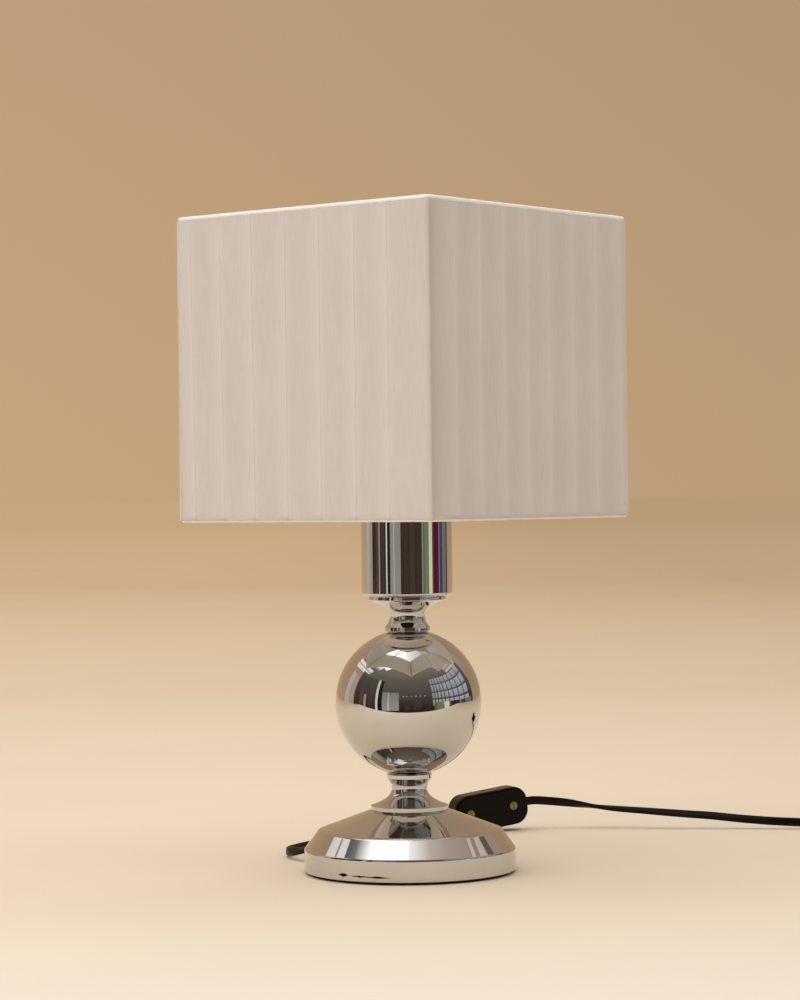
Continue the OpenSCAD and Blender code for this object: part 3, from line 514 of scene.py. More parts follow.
BOARD = mottled("pressed_board", (0.07, 0.05, 0.035, 1), (0.12, 0.09, 0.06, 1), (0.7, 0.9), 0, 350, 0.0001)
FELT = mottled("felt", (0.012, 0.012, 0.011, 1), (0.03, 0.029, 0.027, 1), (0.92, 1.0), 0, 900, 0.0003)
CERAMIC = mottled("ceramic", (0.72, 0.69, 0.62, 1), (0.8, 0.78, 0.72, 1), (0.2, 0.32), 0, 200)
WIRE = mottled("white_wire_coat", (0.62, 0.6, 0.56, 1), (0.74, 0.72, 0.68, 1), (0.35, 0.5), 0, 300)
OPAL = mottled(
    "opal_glass", (0.82, 0.8, 0.76, 1), (0.86, 0.84, 0.8, 1), (0.12, 0.2), 0, 120, 0, Coat_Weight=0.4,
)
CAP = mottled("bulb_cap_metal", (0.55, 0.54, 0.52, 1), (0.68, 0.67, 0.65, 1), (0.22, 0.36), 1, 400)

# The nodes that stay, by finish
NODE_FINISH = {
    IRON: ["base_weight"],
    BOARD: ["bottom_cover"],
    FELT: ["felt_pad"],
    BLACK: ["cord_bushing", "bushing_nut", "holder_cap", "holder_body", "holder_ring", "shade_ring",
            "bulb_insulator", "switch_rocker", "coil_tie", "pin_sleeves"],
    CORD: ["inner_lead"],
    STEEL: ["threaded_tube", "tube_nuts", "tube_washers", "holder_screws", "rocker_axle", "rocker_spring",
            "clamp_screws", "plug_pins"],
    BRASS: ["screw_shell", "centre_contact", "holder_terminals", "case_screws", "rocker_plunger",
            "contact_plate", "switch_terminals"],
    CERAMIC: ["holder_insert"],
    WIRE: ["fitter_ring", "fitter_arms", "bottom_frame", "top_frame", "corner_struts"],
    OPAL: ["bulb_glass"],
    CAP: ["bulb_cap", "bulb_contact"],
}


def dress_nodes():
    for finish, names in NODE_FINISH.items():
        for name in names:
            materials = nodes[name].data.materials
            materials.clear()
            materials.append(finish)


# Cord: the route's points are x, y, z in millimetres and the turn of the flat from standing on edge
CORD_W = 5.2
CORD_T = 2.8
CORD_SIDES = 20
CORE_SPLIT = 3
WAIST_DEEP = 0.06
WAIST_SHARP = 8
LEAD_STEPS = 6
FREE_STEPS = 4
SWITCH_AT = Vector((-79, 173, 13.437))
SWITCH_YAW = math.radians(62)
SWITCH_TILT = math.radians(7.5)
SWITCH_TURN = Matrix.Rotation(SWITCH_YAW, 3, "Z") @ Matrix.Rotation(-SWITCH_TILT, 3, "Y")
SWITCH_L = 48
SWITCH_RIM_Y = 5.9
SWITCH_ROUND = 0.68
PLUG_TAIL_Y = 395
PLUG_RIM_L = 3
PLUG_ROUND = 1.2
RIM_ANGLES = (math.radians(25), math.radians(60))
CORD_IN = 2.3
BUSHING_END = 62
OUTLET_Z = 7.5


def on_switch(x):
    return tuple(SWITCH_AT + SWITCH_TURN @ Vector((x, 0, 0))) + (0,)


LEAD_ROUTE = [
    (-BUSHING_END, 0, OUTLET_Z, 90), (-BUSHING_END - CORD_W, 0, OUTLET_Z, 90), (-76, 0, 6.5, 70),
    (-85, 1.5, 5, 35), (-94, 6, 4, 10), (-101, 14, 3.2, 0), (-105, 25, 3, 0), (-108, 40, 3, 0),
    (-110, 58, 3, 0), (-110.5, 78, 3, 0), (-108.5, 100, 3.2, 0), (-104, 121, 5, 0), (-98, 137, 8, 0),
    on_switch(-SWITCH_L / 2 - CORD_W), on_switch(-SWITCH_L / 2 + CORD_IN),
]
FREE_ROUTE = [
    on_switch(SWITCH_L / 2 - CORD_IN), on_switch(SWITCH_L / 2 + CORD_W), (-61, 204, 17, 0),
    (-50, 214, 15.5, 20), (-37, 222, 13.5, 75), (-25, 229, 12, 105), (-12, 236, 11, 115), (1, 243, 10, 125),
    (14, 250, 9, 133), (27, 258, 8, 140), (40, 266, 6.5, 146), (52, 273, 5.4, 152), (64, 280, 4.6, 160),
    (78, 289, 4, 170), (90, 298, 3.8, 180),
]
COIL_AT = (88, 339)
COIL_START = -51
COIL_TURNS = 7 - COIL_START / 360
COIL_RINGS = 24
COIL_IN = 23
COIL_PITCH = 3.8
COIL_Z = 3.7
COIL_STEP = 6.2
ON_FLAT = 180
TAIL_L = 36
TAIL_STEPS = 6
PLUG_Z = 6.85


def ease(x):
    """A soft step from 0 to 1."""
    c = min(max(x, 0), 1)
    return c * c * (3 - 2 * c)


def coil_route():
    """In on the floor, up in the middle, out above, and straight on to the plug."""
    way = math.radians(COIL_START)
    ahead = Vector((-math.sin(way), math.cos(way), 0)) * CORD_W
    count = round(COIL_TURNS * COIL_RINGS)
    points = []
    for k in range(count + 1):
        t = k * COIL_TURNS / count
        a = way + math.tau * t
        r = COIL_IN + COIL_PITCH * abs(t - COIL_TURNS / 2)
        z = COIL_Z + COIL_STEP * ease((t - COIL_TURNS / 2) * 2 + 0.5)
        points.append((COIL_AT[0] + r * math.cos(a), COIL_AT[1] + r * math.sin(a), z, ON_FLAT))
    first = Vector(points[0][:3])
    entry = [tuple(first - ahead * far) + (ON_FLAT,) for far in (2, 1)]
    top = points[-1]
    tail = []
    for k in range(1, TAIL_STEPS + 1):
        f = k / TAIL_STEPS
        z = top[2] + (PLUG_Z - top[2]) * ease(2 * f - 2 / 3)
        tail.append((top[0], top[1] + TAIL_L * f, z, ON_FLAT))
    return entry + points + tail


def smooth_line(points, steps):
    """A smooth line through the route's points, the turn of the flat with it."""
    line = []
    for i in range(len(points) - 1):
        p = [Vector(points[min(max(i + k, 0), len(points) - 1)]) for k in (-1, 0, 1, 2)]
        for k in range(steps):
            t = k / steps
            line.append(0.5 * (
                2 * p[1] + (p[2] - p[0]) * t + (2 * p[0] - 5 * p[1] + 4 * p[2] - p[3]) * t ** 2
                + (3 * p[1] - p[0] - 3 * p[2] + p[3]) * t ** 3
            ))
    return line + [Vector(points[-1])]


def flat_cord(name, route, steps, *stands_for):
    """A flat two-core cord along a route: a flat oval, a little waisted between its cores."""
    line = smooth_line(route, steps)
    core = CORD_T / 2
    off = (CORD_W - CORD_T) / 2
    length = sum((b.xyz - a.xyz).length for a, b in zip(line, line[1:])) * MM
    ways = []
    for i in range(len(line)):
        ways.append((line[min(i + 1, len(line) - 1)].xyz - line[max(i - 1, 0)].xyz).normalized())

    def place(u, v):
        i = round(v * (len(line) - 1))
        ahead = ways[i]
        side = ahead.cross(Vector((0, 0, 1))).normalized()
        up = side.cross(ahead)
        a = math.tau * u
        wide = off * math.tanh(CORE_SPLIT * math.cos(a)) + core * math.cos(a)
        thick = core * math.sin(a) * (1 - WAIST_DEEP * math.sin(a) ** WAIST_SHARP)
        roll = math.radians(line[i][3])
        at = line[i].xyz + up * (wide * math.cos(roll) - thick * math.sin(roll))
        return (at + side * (wide * math.sin(roll) + thick * math.cos(roll))) * MM

    bm = bent_grid(CORD_SIDES, len(line) - 1, place, (2 * (CORD_W + CORD_T) * MM, length))
    close_ends(bm)
    made = piece(name, bm, "stand", CORD, "cord", *stands_for)
    return made, [p.xyz * MM for p in line], length


def case_rim(edge):
    """The edges of the chamfer round the switch case."""
    depths = [abs((SWITCH_TURN.transposed() @ (vert.co / MM - SWITCH_AT)).y) for vert in edge.verts]
    bends = RIM_ANGLES[0] < edge.calc_face_angle(0) < RIM_ANGLES[1]
    return bends and min(depths) > SWITCH_RIM_Y


def plug_rim(edge):
    """The long edges of the plug ahead of its tail."""
    if edge.calc_length() < PLUG_RIM_L * MM or edge.calc_face_angle(0) < RIM_ANGLES[0]:
        return False
    heads = [vert.co.y / MM for vert in edge.verts]
    return min(heads) > PLUG_TAIL_Y - PLUG_RIM_L and max(heads) > PLUG_TAIL_Y + PLUG_RIM_L


def make_cords():
    """The two free runs of cord, each with the pieces that are on it."""
    inside = [
        "case_screws", "switch_rocker", "rocker_axle", "rocker_plunger", "rocker_spring", "contact_plate",
        "switch_terminals", "clamp_screws",
    ]
    switch = [nodes[name] for name in inside]
    for side in ("back", "front"):
        case = "switch_" + side
        half = softened(case + "_case", case, SWITCH_ROUND, case_rim, "stand", BLACK, "black_plastic")
        switch.append(half)
    plug = [nodes[name] for name in ("coil_tie", "plug_pins", "pin_sleeves")]
    moulding = softened("plug_moulding", "plug_body", PLUG_ROUND, plug_rim, "stand", BLACK, "black_plastic")
    plug.append(moulding)
    lead, line, length = flat_cord("lead_to_switch", LEAD_ROUTE, LEAD_STEPS, "cord_to_switch")
    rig.cord(
        lead, exit=line[0], length=length, diameter=CORD_W * MM, far_end="fitting", stiffness="medium",
        lay="loose", path=line, with_pieces=switch,
    )
    route = FREE_ROUTE + coil_route()
    flex, line, length = flat_cord("lead_to_plug", route, FREE_STEPS, "cord_to_coil", "cord_coil")
    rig.cord(
        flex, exit=line[0], length=length, diameter=CORD_W * MM, far_end="plug", stiffness="medium",
        lay="coiled", path=line, with_pieces=plug,
    )


# Turned chrome, radii and heights in millimetres
HOLE_R = 5.2
BASE_TOP = 34.3
NECK_H = 20
BALL_R = 40
BALL_WALL = 1.5
SEAT_R = 10.7
SEAT_DROP = math.sqrt(BALL_R ** 2 - SEAT_R ** 2)
BALL_Z = BASE_TOP + NECK_H + SEAT_DROP
CUP_Z = BALL_Z + SEAT_DROP + NECK_H
CUP_H = 62
CUP_R = 25
SHELL_T = 1.2
SEAT_ANGLE = math.degrees(math.asin(SEAT_R / BALL_R))
HOLE_ANGLE = math.degrees(math.asin(HOLE_R / BALL_R))
FLANGE_H = 2.4
FLANGE = [(HOLE_R, 0, 0), (21.0, 0, 0.25), (21.2, FLANGE_H, 0.3), (20.4, 2.6, 0)]
COLLAR = [(12.32, 17.2, 0), (12.5, 19.5, 0.4), (SEAT_R, 19.9, 0)]
WAIST_R = 9.75
WAIST_Z = 12
COVE_OUT = 11.15
COVE_POWER = 2.5
COVE_STEPS = 32
FLARE_H = 5.2
FLARE_BEND = 0.095
FLARE_STEPS = 16
# Base and cup: radius, height and rounding of each corner
BASE_CORNERS = [
    (58, 1.5, 0.5), (58, 13, 2), (50.2, 23.7, 4), (21, BASE_TOP, 0.6), (HOLE_R, BASE_TOP, 0),
    (HOLE_R, BASE_TOP - SHELL_T, 0), (20.6, BASE_TOP - SHELL_T, 0), (48.9, 22.9, 2.8), (56.8, 12.6, 0.8),
    (56.8, 1.5, 0.4),
]
CUP_CORNERS = [
    (HOLE_R, CUP_Z, 0), (CUP_R, CUP_Z, 1.5), (CUP_R, CUP_Z + CUP_H, 0.4),
    (CUP_R - SHELL_T, CUP_Z + CUP_H, 0.4), (CUP_R - SHELL_T, CUP_Z + SHELL_T, 0.3),
    (HOLE_R, CUP_Z + SHELL_T, 0),
]


def neck_profile():
    """Flange, cove in to the waist, flare out to the collar, seat on the ball; z from the flange up."""
    points = rounded(FLANGE, 6)
    for k in range(2, COVE_STEPS + 1):
        share = k / COVE_STEPS
        r = WAIST_R + COVE_OUT * (1 - share) ** COVE_POWER
        points.append((r, FLANGE_H + (WAIST_Z - FLANGE_H) * share))
    for k in range(1, FLARE_STEPS):
        up = FLARE_H * k / FLARE_STEPS
        points.append((WAIST_R + FLARE_BEND * up ** 2, WAIST_Z + up))
    seat = arc(0, NECK_H + SEAT_DROP, BALL_R, SEAT_ANGLE - 90, HOLE_ANGLE - 90, 4)
    return points + rounded(COLLAR, 6) + seat


def make_chrome_pieces():
    neck = neck_profile()
    ball = arc(0, BALL_Z, BALL_R, HOLE_ANGLE - 90, 90 - HOLE_ANGLE, 96)
    ball += arc(0, BALL_Z, BALL_R - BALL_WALL, 90 - HOLE_ANGLE, HOLE_ANGLE - 90, 48)
    profiles = [
        ("base_shell", rounded(BASE_CORNERS, 10), 256),
        ("lower_neck", [(r, BASE_TOP + z) for r, z in neck], 192),
        ("upper_neck", [(r, CUP_Z - z) for r, z in neck], 192),
        ("ball", ball, 224),
        ("socket_cup", rounded(CUP_CORNERS, 8), 224),
    ]
    for source, profile, steps in profiles:
        turned(source + "_plate", profile, steps, "stand", CHROME, "chrome", source)


# Shade cloth: one long strip, knife-pleated, wrapped round the frame
SHADE_HALF = 87.9
SHADE_BEND = 2.4
SHADE_LOW = 192.5
SHADE_TOP = 358.5
WIRE_HALF = 86.55
WIRE_BEND = 2.5
WIRE_IN = 1.45
CLOTH_T = 0.16
SIDE = 2 * (SHADE_HALF - SHADE_BEND)
BEND_L = SHADE_BEND * math.pi / 2
ROUND = 4 * (SIDE + BEND_L)
FRONT_FOLDS = [-75.7, -54.4, -32.0, -8.6, 15.0, 38.9, 60.9]
RIGHT_FOLDS = [-66.3, -45.4, -24.9, -4.9, 14.6, 36.4, 57.7, 80.4]
BACK_FOLDS = [-71.5, -50.5, -29.5, -8.2, 13.5, 34.8, 56.0, 77.0]
LEFT_FOLDS = [-72.0, -51.0, -29.8, -8.5, 13.0, 34.2, 55.5, 76.5]
# The cloth's way over and under a fold: distance along the side, height over the lowest layer, and the share of the
# lighter tone, for the layers over the fold and a painted highlight on the single cloth just past its edge
FOLD = [
    (-11.0, 0.24, 0.0), (-8.0, 0.28, 0.15), (-6.0, 0.31, 0.35), (-5.0, 0.33, 0.42), (-3.0, 0.36, 0.52),
    (-1.6, 0.38, 0.75), (-0.8, 0.39, 0.95), (-0.3, 0.39, 1.0), (-0.05, 0.385, 1.0), (0.08, 0.36, 1.0),
    (0.12, 0.31, 1.0), (0.06, 0.235, 1.0), (-0.05, 0.215, 0.6), (-0.3, 0.205, 0.3), (-1.2, 0.19, 0.0),
    (-5.2, 0.15, 0.0), (-5.4, 0.11, 0.0), (-5.4, 0.04, 0.0), (-5.2, 0.0, 0.0), (-2.0, 0.04, 0.0),
    (-0.4, 0.15, 0.6), (0.3, 0.25, 0.8), (0.8, 0.29, 0.65), (1.6, 0.27, 0.4), (3.0, 0.2, 0.1),
    (5.0, 0.12, 0.0),
]
# The cloth's way up the shade: height over the lower edge, or under the upper one, and how far out it lies
LOW_ROWS = [(1.2, -0.3), (1.15, -0.16), (1.22, -0.06), (1.45, 0.0), (2.0, 0.0), (2.8, 0.0), (4.0, 0.0)]
TOP_ROWS = [(6.0, 0.0), (3.9, 0.0), (3.0, -0.03), (2.5, -0.12), (2.3, -0.3)]
MID_ROWS = 20
PLAIN_STEP = 1.5
FINE_STEP = 0.42
# Painted shade just past each corner, strongest past the front one: its depth at each corner, how far it reaches and
# where in the bend it starts
CORNER_SHADE = [0.62, 0.15, 0.2, 0.05]
CORNER_OVER = 12
CORNER_FROM = 0.6
CORNER_FINE = 2
FOLD_LEAN = 3.2
LEAN_OVER = 80
# A slow sway of the cloth between its two frames
SWAY_IN = 0.12
SWAY_WAVE = 0.09
SWAY_BEND = 1.3
SWAY_UP = 4
# How far the painted shade under the bindings reaches, and its share on the plain cloth
LOW_HEM_SHADE = 4.4
TOP_HEM_SHADE = 4.6
PLAIN_HEM_SHADE = 0.3
# Bindings: height of the middle over the edge, radius of the roll, and its fullness over a fold
TOP_TAPE_R = 1.3
LOW_TAPE_IN = 1.32
LOW_TAPE_R = 1.27
TAPE_STEPS = 560
TAPE_SIDES = 16
TAPE_PLAIN = 0.98
TAPE_FULL = 0.05
TAPE_FULL_AT = -2
TAPE_FULL_OVER = 2.4
TAPE_UNEVEN = 0.015
TAPE_WAVE = 0.31


def round_shade(s, half, bend):
    """Place on a rounded square and the way out of it, s along it in millimetres from the front left."""
    side = 2 * (half - bend)
    curve = bend * math.pi / 2
    lap, rest = divmod(s, side + curve)
    turn = Matrix.Rotation(lap % 4 * math.pi / 2, 2)
    if rest <= side:
        at, out = Vector((rest - side / 2, -half)), Vector((0, -1))
    else:
        a = (rest - side) / bend - math.pi / 2
        out = Vector((math.cos(a), math.sin(a)))
        at = Vector((side / 2, -side / 2)) + out * bend
    return turn @ at, turn @ out


def fold_places():
    places = []
    for lap, folds in enumerate((FRONT_FOLDS, RIGHT_FOLDS, BACK_FOLDS, LEFT_FOLDS)):
        places += [lap * (SIDE + BEND_L) + SIDE / 2 + at for at in folds]
    return places


def cloth_outline():
    """The strip's edge as it runs round the shade: place along, height, layers with the painted fold highlight."""
    places = fold_places()
    line = []
    for i, fold in enumerate(places):
        line += [(fold + s, d, k) for s, d, k in FOLD]
        after = places[i + 1] if i + 1 < len(places) else places[0] + ROUND
        start, end = fold + FOLD[-1][0], after + FOLD[0][0]
        at = start
        while at < end - FINE_STEP:
            past = at % (SIDE + BEND_L) - SIDE
            at += FINE_STEP if -CORNER_FINE < past < BEND_L + CORNER_FINE else PLAIN_STEP
            f = min((at - start) / (end - start), 1)
            if f < 1:
                line.append((at, FOLD[-1][1] + (FOLD[0][1] - FOLD[-1][1]) * f, 0.0))
    return line + [(line[0][0] + ROUND, line[0][1], line[0][2])]


def cloth_rows():
    low, high = LOW_ROWS[-1][0], SHADE_TOP - SHADE_LOW - TOP_ROWS[0][0]
    middle = [(low + (high - low) * k / MID_ROWS, 0.0) for k in range(1, MID_ROWS)]
    rows = LOW_ROWS + middle + [(SHADE_TOP - SHADE_LOW - z, inset) for z, inset in TOP_ROWS]
    return [(SHADE_LOW + z, inset) for z, inset in rows]


def lengths(points):
    """How far along a line each of its points is, in metres."""
    far = [0.0]
    for a, b in zip(points, points[1:]):
        far.append(far[-1] + math.hypot(b[0] - a[0], b[1] - a[1]) * MM)
    return far


def make_shade():
    line = cloth_outline()
    rows = cloth_rows()
    along, up = lengths(line), lengths(rows)

    def place(u, v):
        s, d, _ = line[round(u * (len(line) - 1))]
        z, inset = rows[round(v * (len(rows) - 1))]
        share = (z - SHADE_LOW) / (SHADE_TOP - SHADE_LOW)
        near_left = min(s % ROUND, ROUND - s % ROUND)
        lean = FOLD_LEAN * (0.5 - share) * max(0, 1 - near_left / LEAN_OVER)
        at, out = round_shade((s + lean) % ROUND, SHADE_HALF, SHADE_BEND)
        wave = math.sin(s * SWAY_WAVE + SWAY_BEND * math.sin(SWAY_UP * share))
        sway = -SWAY_IN * math.sin(math.pi * share) * (1 + wave)
        xy = at + out * (d + sway + inset)
        return Vector((xy.x, xy.y, z)) * MM

    bm = bent_grid(len(line) - 1, len(rows) - 1, place)
    layers = bm.verts.layers.float.new("layers")
    painted_shade = bm.verts.layers.float.new("painted_shade")
    uv = bm.loops.layers.uv["UVMap"]
    for face in bm.faces:
        for loop in face.loops:
            i = round(loop[uv].uv.x * (len(line) - 1))
            j = round(loop[uv].uv.y * (len(rows) - 1))
            # The lighter tone: cloth in layers, and a painted highlight just past each fold edge
            loop.vert[layers] = line[i][2]
            # Painted shade under both bindings, deeper where the cloth lies in layers
            low_edge = ease(1 - (rows[j][0] - SHADE_LOW) / LOW_HEM_SHADE)
            top_edge = ease(1 - (SHADE_TOP - rows[j][0]) / TOP_HEM_SHADE)
            hem_shade = max(low_edge, top_edge) * (PLAIN_HEM_SHADE + (1 - PLAIN_HEM_SHADE) * line[i][2])
            # Painted shade on the cloth just past each corner, strongest past the front one
            corner, past = divmod(line[i][0] - SIDE - CORNER_FROM * BEND_L, SIDE + BEND_L)
            corner_shade = CORNER_SHADE[int(corner) % 4] * max(1 - past / CORNER_OVER, 0) ** 2
            loop.vert[painted_shade] = max(hem_shade, corner_shade)
            loop[uv].uv = (along[i], up[j])
    bmesh.ops.recalc_face_normals(bm, faces=bm.faces)
    cover = piece("pleated_cover", bm, "shade", COVER, "shade_fabric", "shade_cover")
    cover.data.materials.append(LINING)
    wall = cover.modifiers.new("thickness", "SOLIDIFY")
    wall.thickness = CLOTH_T * MM
    wall.offset = -1
    wall.material_offset = 1
    top_z, low_z = SHADE_TOP - WIRE_IN, SHADE_LOW + LOW_TAPE_IN
    hems = [
        make_hem("top_binding", top_z, TOP_TAPE_R, TAPE, "hem_fabric", "top_hem"),
        make_hem("bottom_binding", low_z, LOW_TAPE_R, LINING, "shade_fabric", "bottom_hem"),
    ]
    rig.sheet(
        cover, flat=(along[-1], up[-1]), held="stretched", rests_on=["top_frame", "bottom_frame"],
        with_pieces=hems,
    )


def make_hem(name, z, radius, finish, slot, stands_for):
    """Tape bound round the frame's wire, a little fuller over each fold."""
    length = 4 * (2 * (WIRE_HALF - WIRE_BEND) + WIRE_BEND * math.pi / 2)
    places = [p * length / ROUND for p in fold_places()]

    def place(u, v):
        s = v * length
        at, out = round_shade(s % length, WIRE_HALF, WIRE_BEND)
        full = max(math.exp(-((s - p - TAPE_FULL_AT) / TAPE_FULL_OVER) ** 2) for p in places)
        r = radius * (TAPE_PLAIN + TAPE_FULL * full + TAPE_UNEVEN * math.sin(s * TAPE_WAVE))
        a = math.tau * u
        xy = at + out * r * math.cos(a)
        return Vector((xy.x, xy.y, z + r * math.sin(a))) * MM

    bm = bent_grid(TAPE_SIDES, TAPE_STEPS, place, (math.tau * radius * MM, length * MM))
    bmesh.ops.recalc_face_normals(bm, faces=bm.faces)
    return piece(name, bm, "shade", finish, slot, stands_for)


# Studio: pale floor, soft light from above, and cards that only the chrome sees
SKY_LOW = colour(197, 165, 126)
SKY_HIGH = colour(190, 158, 122)
SKY_ROOF = colour(178, 156, 132)
SKY_DIM = (1.0, 0.89)
DARK_ROOM = (0.02, 0.014, 0.009, 1)
WORLD_TINT = (0.97, 0.98, 1, 1)
WORLD_STRENGTH = 0.47
FLOOR_HALF = 60
FLOOR_NEAR = colour(241, 220, 192)
FLOOR_FRONT = colour(249, 233, 211)
# The floor's painted falloff of light outwards: metres from the lamp, from and to, and the tone reached
FLOOR_TONES = [(0.3, 1.5, colour(226, 202, 170)), (1.2, 5.0, colour(206, 175, 138)), (4.0, 18.0, SKY_LOW)]
FLOOR_DIM = (1.015, 0.87)
FLOOR_GRAIN = (0.985, 1.01)
FLOOR_ROUGH = 0.9
FLOOR_GLOSS = 0.1
FLOOR_GLOW = (0.7, 3.0)
PAPER_FRONT = 0.44
PAPER_HALF = 3
PAPER_Z = 0.0003


def towards(tree, where, way):
    """How far a place lies in a way out from the lamp."""
    made = node(tree, "VectorMath", [(1, way)], operation="DOT_PRODUCT")
    tree.links.new(where, made.inputs[0])
    return made.outputs["Value"]


def joined(tree, share, first, second, output):
    """Two shaders by a linked share, as the tree's surface."""
    join = node(tree, "MixShader")
    for socket, link in zip(join.inputs, (share, first.outputs[0], second.outputs[0])):
        tree.links.new(link, socket)
    tree.links.new(join.outputs[0], tree.nodes[output].inputs["Surface"])


def floor_finish():
    """Pale paper with painted falloff of light: darker outwards and to the right, lighter towards the camera, and
    glowing far off where it meets the backdrop.
    """
    made, tree, bsdf = shader("studio_floor")
    where = node(tree, "TexCoord").outputs["Object"]
    away = node(tree, "VectorMath", operation="LENGTH")
    tree.links.new(where, away.inputs[0])
    far = away.outputs["Value"]
    tone = FLOOR_NEAR
    for start, end, further in FLOOR_TONES:
        tone = mixed(tree, ranged(tree, far, start, end, 0, 1), tone, further)
    tone = mixed(tree, ranged(tree, towards(tree, where, TO_CAMERA), 0.05, 0.45, 0, 1), tone, FLOOR_FRONT)
    # Painted falloff of light to the right
    tone = dimmed(tree, tone, ranged(tree, towards(tree, where, TO_RIGHT), -0.6, 0.8, *FLOOR_DIM))
    tone = dimmed(tree, tone, spread(tree, noise(tree, where, 6, detail=2), *FLOOR_GRAIN))
    tree.links.new(tone, bsdf.inputs["Base Color"])
    bsdf.inputs["Roughness"].default_value = FLOOR_ROUGH
    bsdf.inputs["Specular IOR Level"].default_value = FLOOR_GLOSS
    glow = node(tree, "Emission")
    tree.links.new(tone, glow.inputs["Color"])
    joined(tree, ranged(tree, far, *FLOOR_GLOW, 0, 1), bsdf, glow, "Material Output")
    return made


def stage_piece(name, bm, finish):
    mesh = bpy.data.meshes.new(name)
    bm.to_mesh(mesh)
    bm.free()
    mesh.materials.append(finish)
    made = bpy.data.objects.new(name, mesh)
    scene.collection.objects.link(made)
    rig.stage(made)
    return made


def seen_only_by_chrome(made):
    """A stage piece for the plate's reflections alone, which lights nothing."""
    made.visible_camera = False
    made.visible_diffuse = False
    made.visible_transmission = False
    made.visible_shadow = False


CARD_FAR = 3.4
CARD_STEP = 0.006
CARD_BEND = 5
CARD_ROWS = 6
CARD_HUB = Vector((0, 0, 0.09))


def aimed(azimuth, elevation):
    """A way out from the lamp: azimuth to the right of the camera, degrees."""
    a, e = math.radians(azimuth), math.radians(elevation)
    level = TO_CAMERA * math.cos(a) + TO_RIGHT * math.sin(a)
    return level * math.cos(e) + Vector((0, 0, math.sin(e)))


# Cards round the studio: azimuth from, to, elevation from, to, glow below, glow above
CARDS = [
    (-96, 122, -12, 8, (0.018, 0.012, 0.008, 1), (0.075, 0.06, 0.048, 1)),
    (-96, 122, 8, 40, (0.085, 0.069, 0.055, 1), (0.18, 0.155, 0.125, 1)),
    (-120, -108, -10, 27, (0.55, 0.52, 0.48, 1), (0.62, 0.58, 0.53, 1)),
    (-106, -98, -10, 27, (0.42, 0.4, 0.37, 1), (0.5, 0.46, 0.42, 1)),
    (-96, -55, -12, 34, (0.03, 0.018, 0.012, 1), (0.11, 0.09, 0.08, 1)),
    (-84, -77, -12, 24, (0.15, 0.075, 0.035, 1), (0.12, 0.075, 0.05, 1)),
    (-75, -71, -12, 12, (0.5, 0.45, 0.39, 1), (0.4, 0.36, 0.31, 1)),
    (-67, -58, -12, 30, (0.06, 0.038, 0.026, 1), (0.12, 0.09, 0.07, 1)),
    (-53.5, -49.5, -12, 34, (0.8, 0.77, 0.71, 1), (0.8, 0.77, 0.71, 1)),
    (-49.5, -43, -12, 34, (0.012, 0.009, 0.007, 1), (0.03, 0.025, 0.02, 1)),
    (-42, -15, -9, 18, (0.4, 0.38, 0.34, 1), (0.3, 0.28, 0.25, 1)),
    (-33, -31, -9, 18, (0.8, 0.77, 0.72, 1), (0.5, 0.47, 0.43, 1)),
    (-6, 2, -8, 4, (0.1, 0.038, 0.018, 1), (0.08, 0.045, 0.03, 1)),
    (8, 20, -8, 6, (0.062, 0.04, 0.028, 1), (0.09, 0.066, 0.05, 1)),
    (26, 35, -12, 10, (0.04, 0.019, 0.012, 1), (0.09, 0.062, 0.052, 1)),
    (-96, 116, 40, 62, (0.19, 0.165, 0.135, 1), (0.3, 0.265, 0.22, 1)),
    (119.5, 136, 18, 40, (0.41, 0.3, 0.22, 1), (0.46, 0.39, 0.32, 1)),
]
# Window panes on the right: azimuths and elevations of their bars
PANE_BARS = [38, 43, 48, 54, 60, 68, 77, 88, 100, 112]
PANE_ROWS = [-3, 7, 17, 28, 37]
PANE_GLOW = ((0.34, 0.4, 0.4, 1), (0.5, 0.56, 0.62, 1))
PANE_GAP = 0.9
# Low strips in front of the window, as the cup shows them
STRIPS = [
    (41, 46, -12, 2.5, (0.1, 0.14, 0.05, 1), (0.16, 0.2, 0.09, 1)),
    (46, 57, -12, 2.5, (0.2, 0.26, 0.1, 1), (0.22, 0.26, 0.16, 1)),
    (58, 67, -12, 2.5, (0.85, 0.92, 0.42, 1), (0.8, 0.88, 0.5, 1)),
    (67, 70.5, -12, 2.5, (0.05, 0.03, 0.03, 1), (0.2, 0.14, 0.15, 1)),
    (70.5, 88, -12, 2.5, (0.045, 0.002, 0.01, 1), (0.14, 0.012, 0.05, 1)),
    (88, 91, -12, 2.5, (0.3, 0.24, 0.3, 1), (0.3, 0.26, 0.34, 1)),
    (91, 101, -12, 2.5, (0.045, 0.06, 0.12, 1), (0.06, 0.08, 0.15, 1)),
    (101, 117, -12, 2.5, (0.2, 0.2, 0.19, 1), (0.22, 0.21, 0.2, 1)),
]
# Lamps along the back: azimuths
LAMPS = [-8, -2, 5, 12, 19, 26]
LAMP_EL = 12
LAMP_HALF = 0.7
LAMP_GLOW = (0.9, 0.72, 0.42, 1)
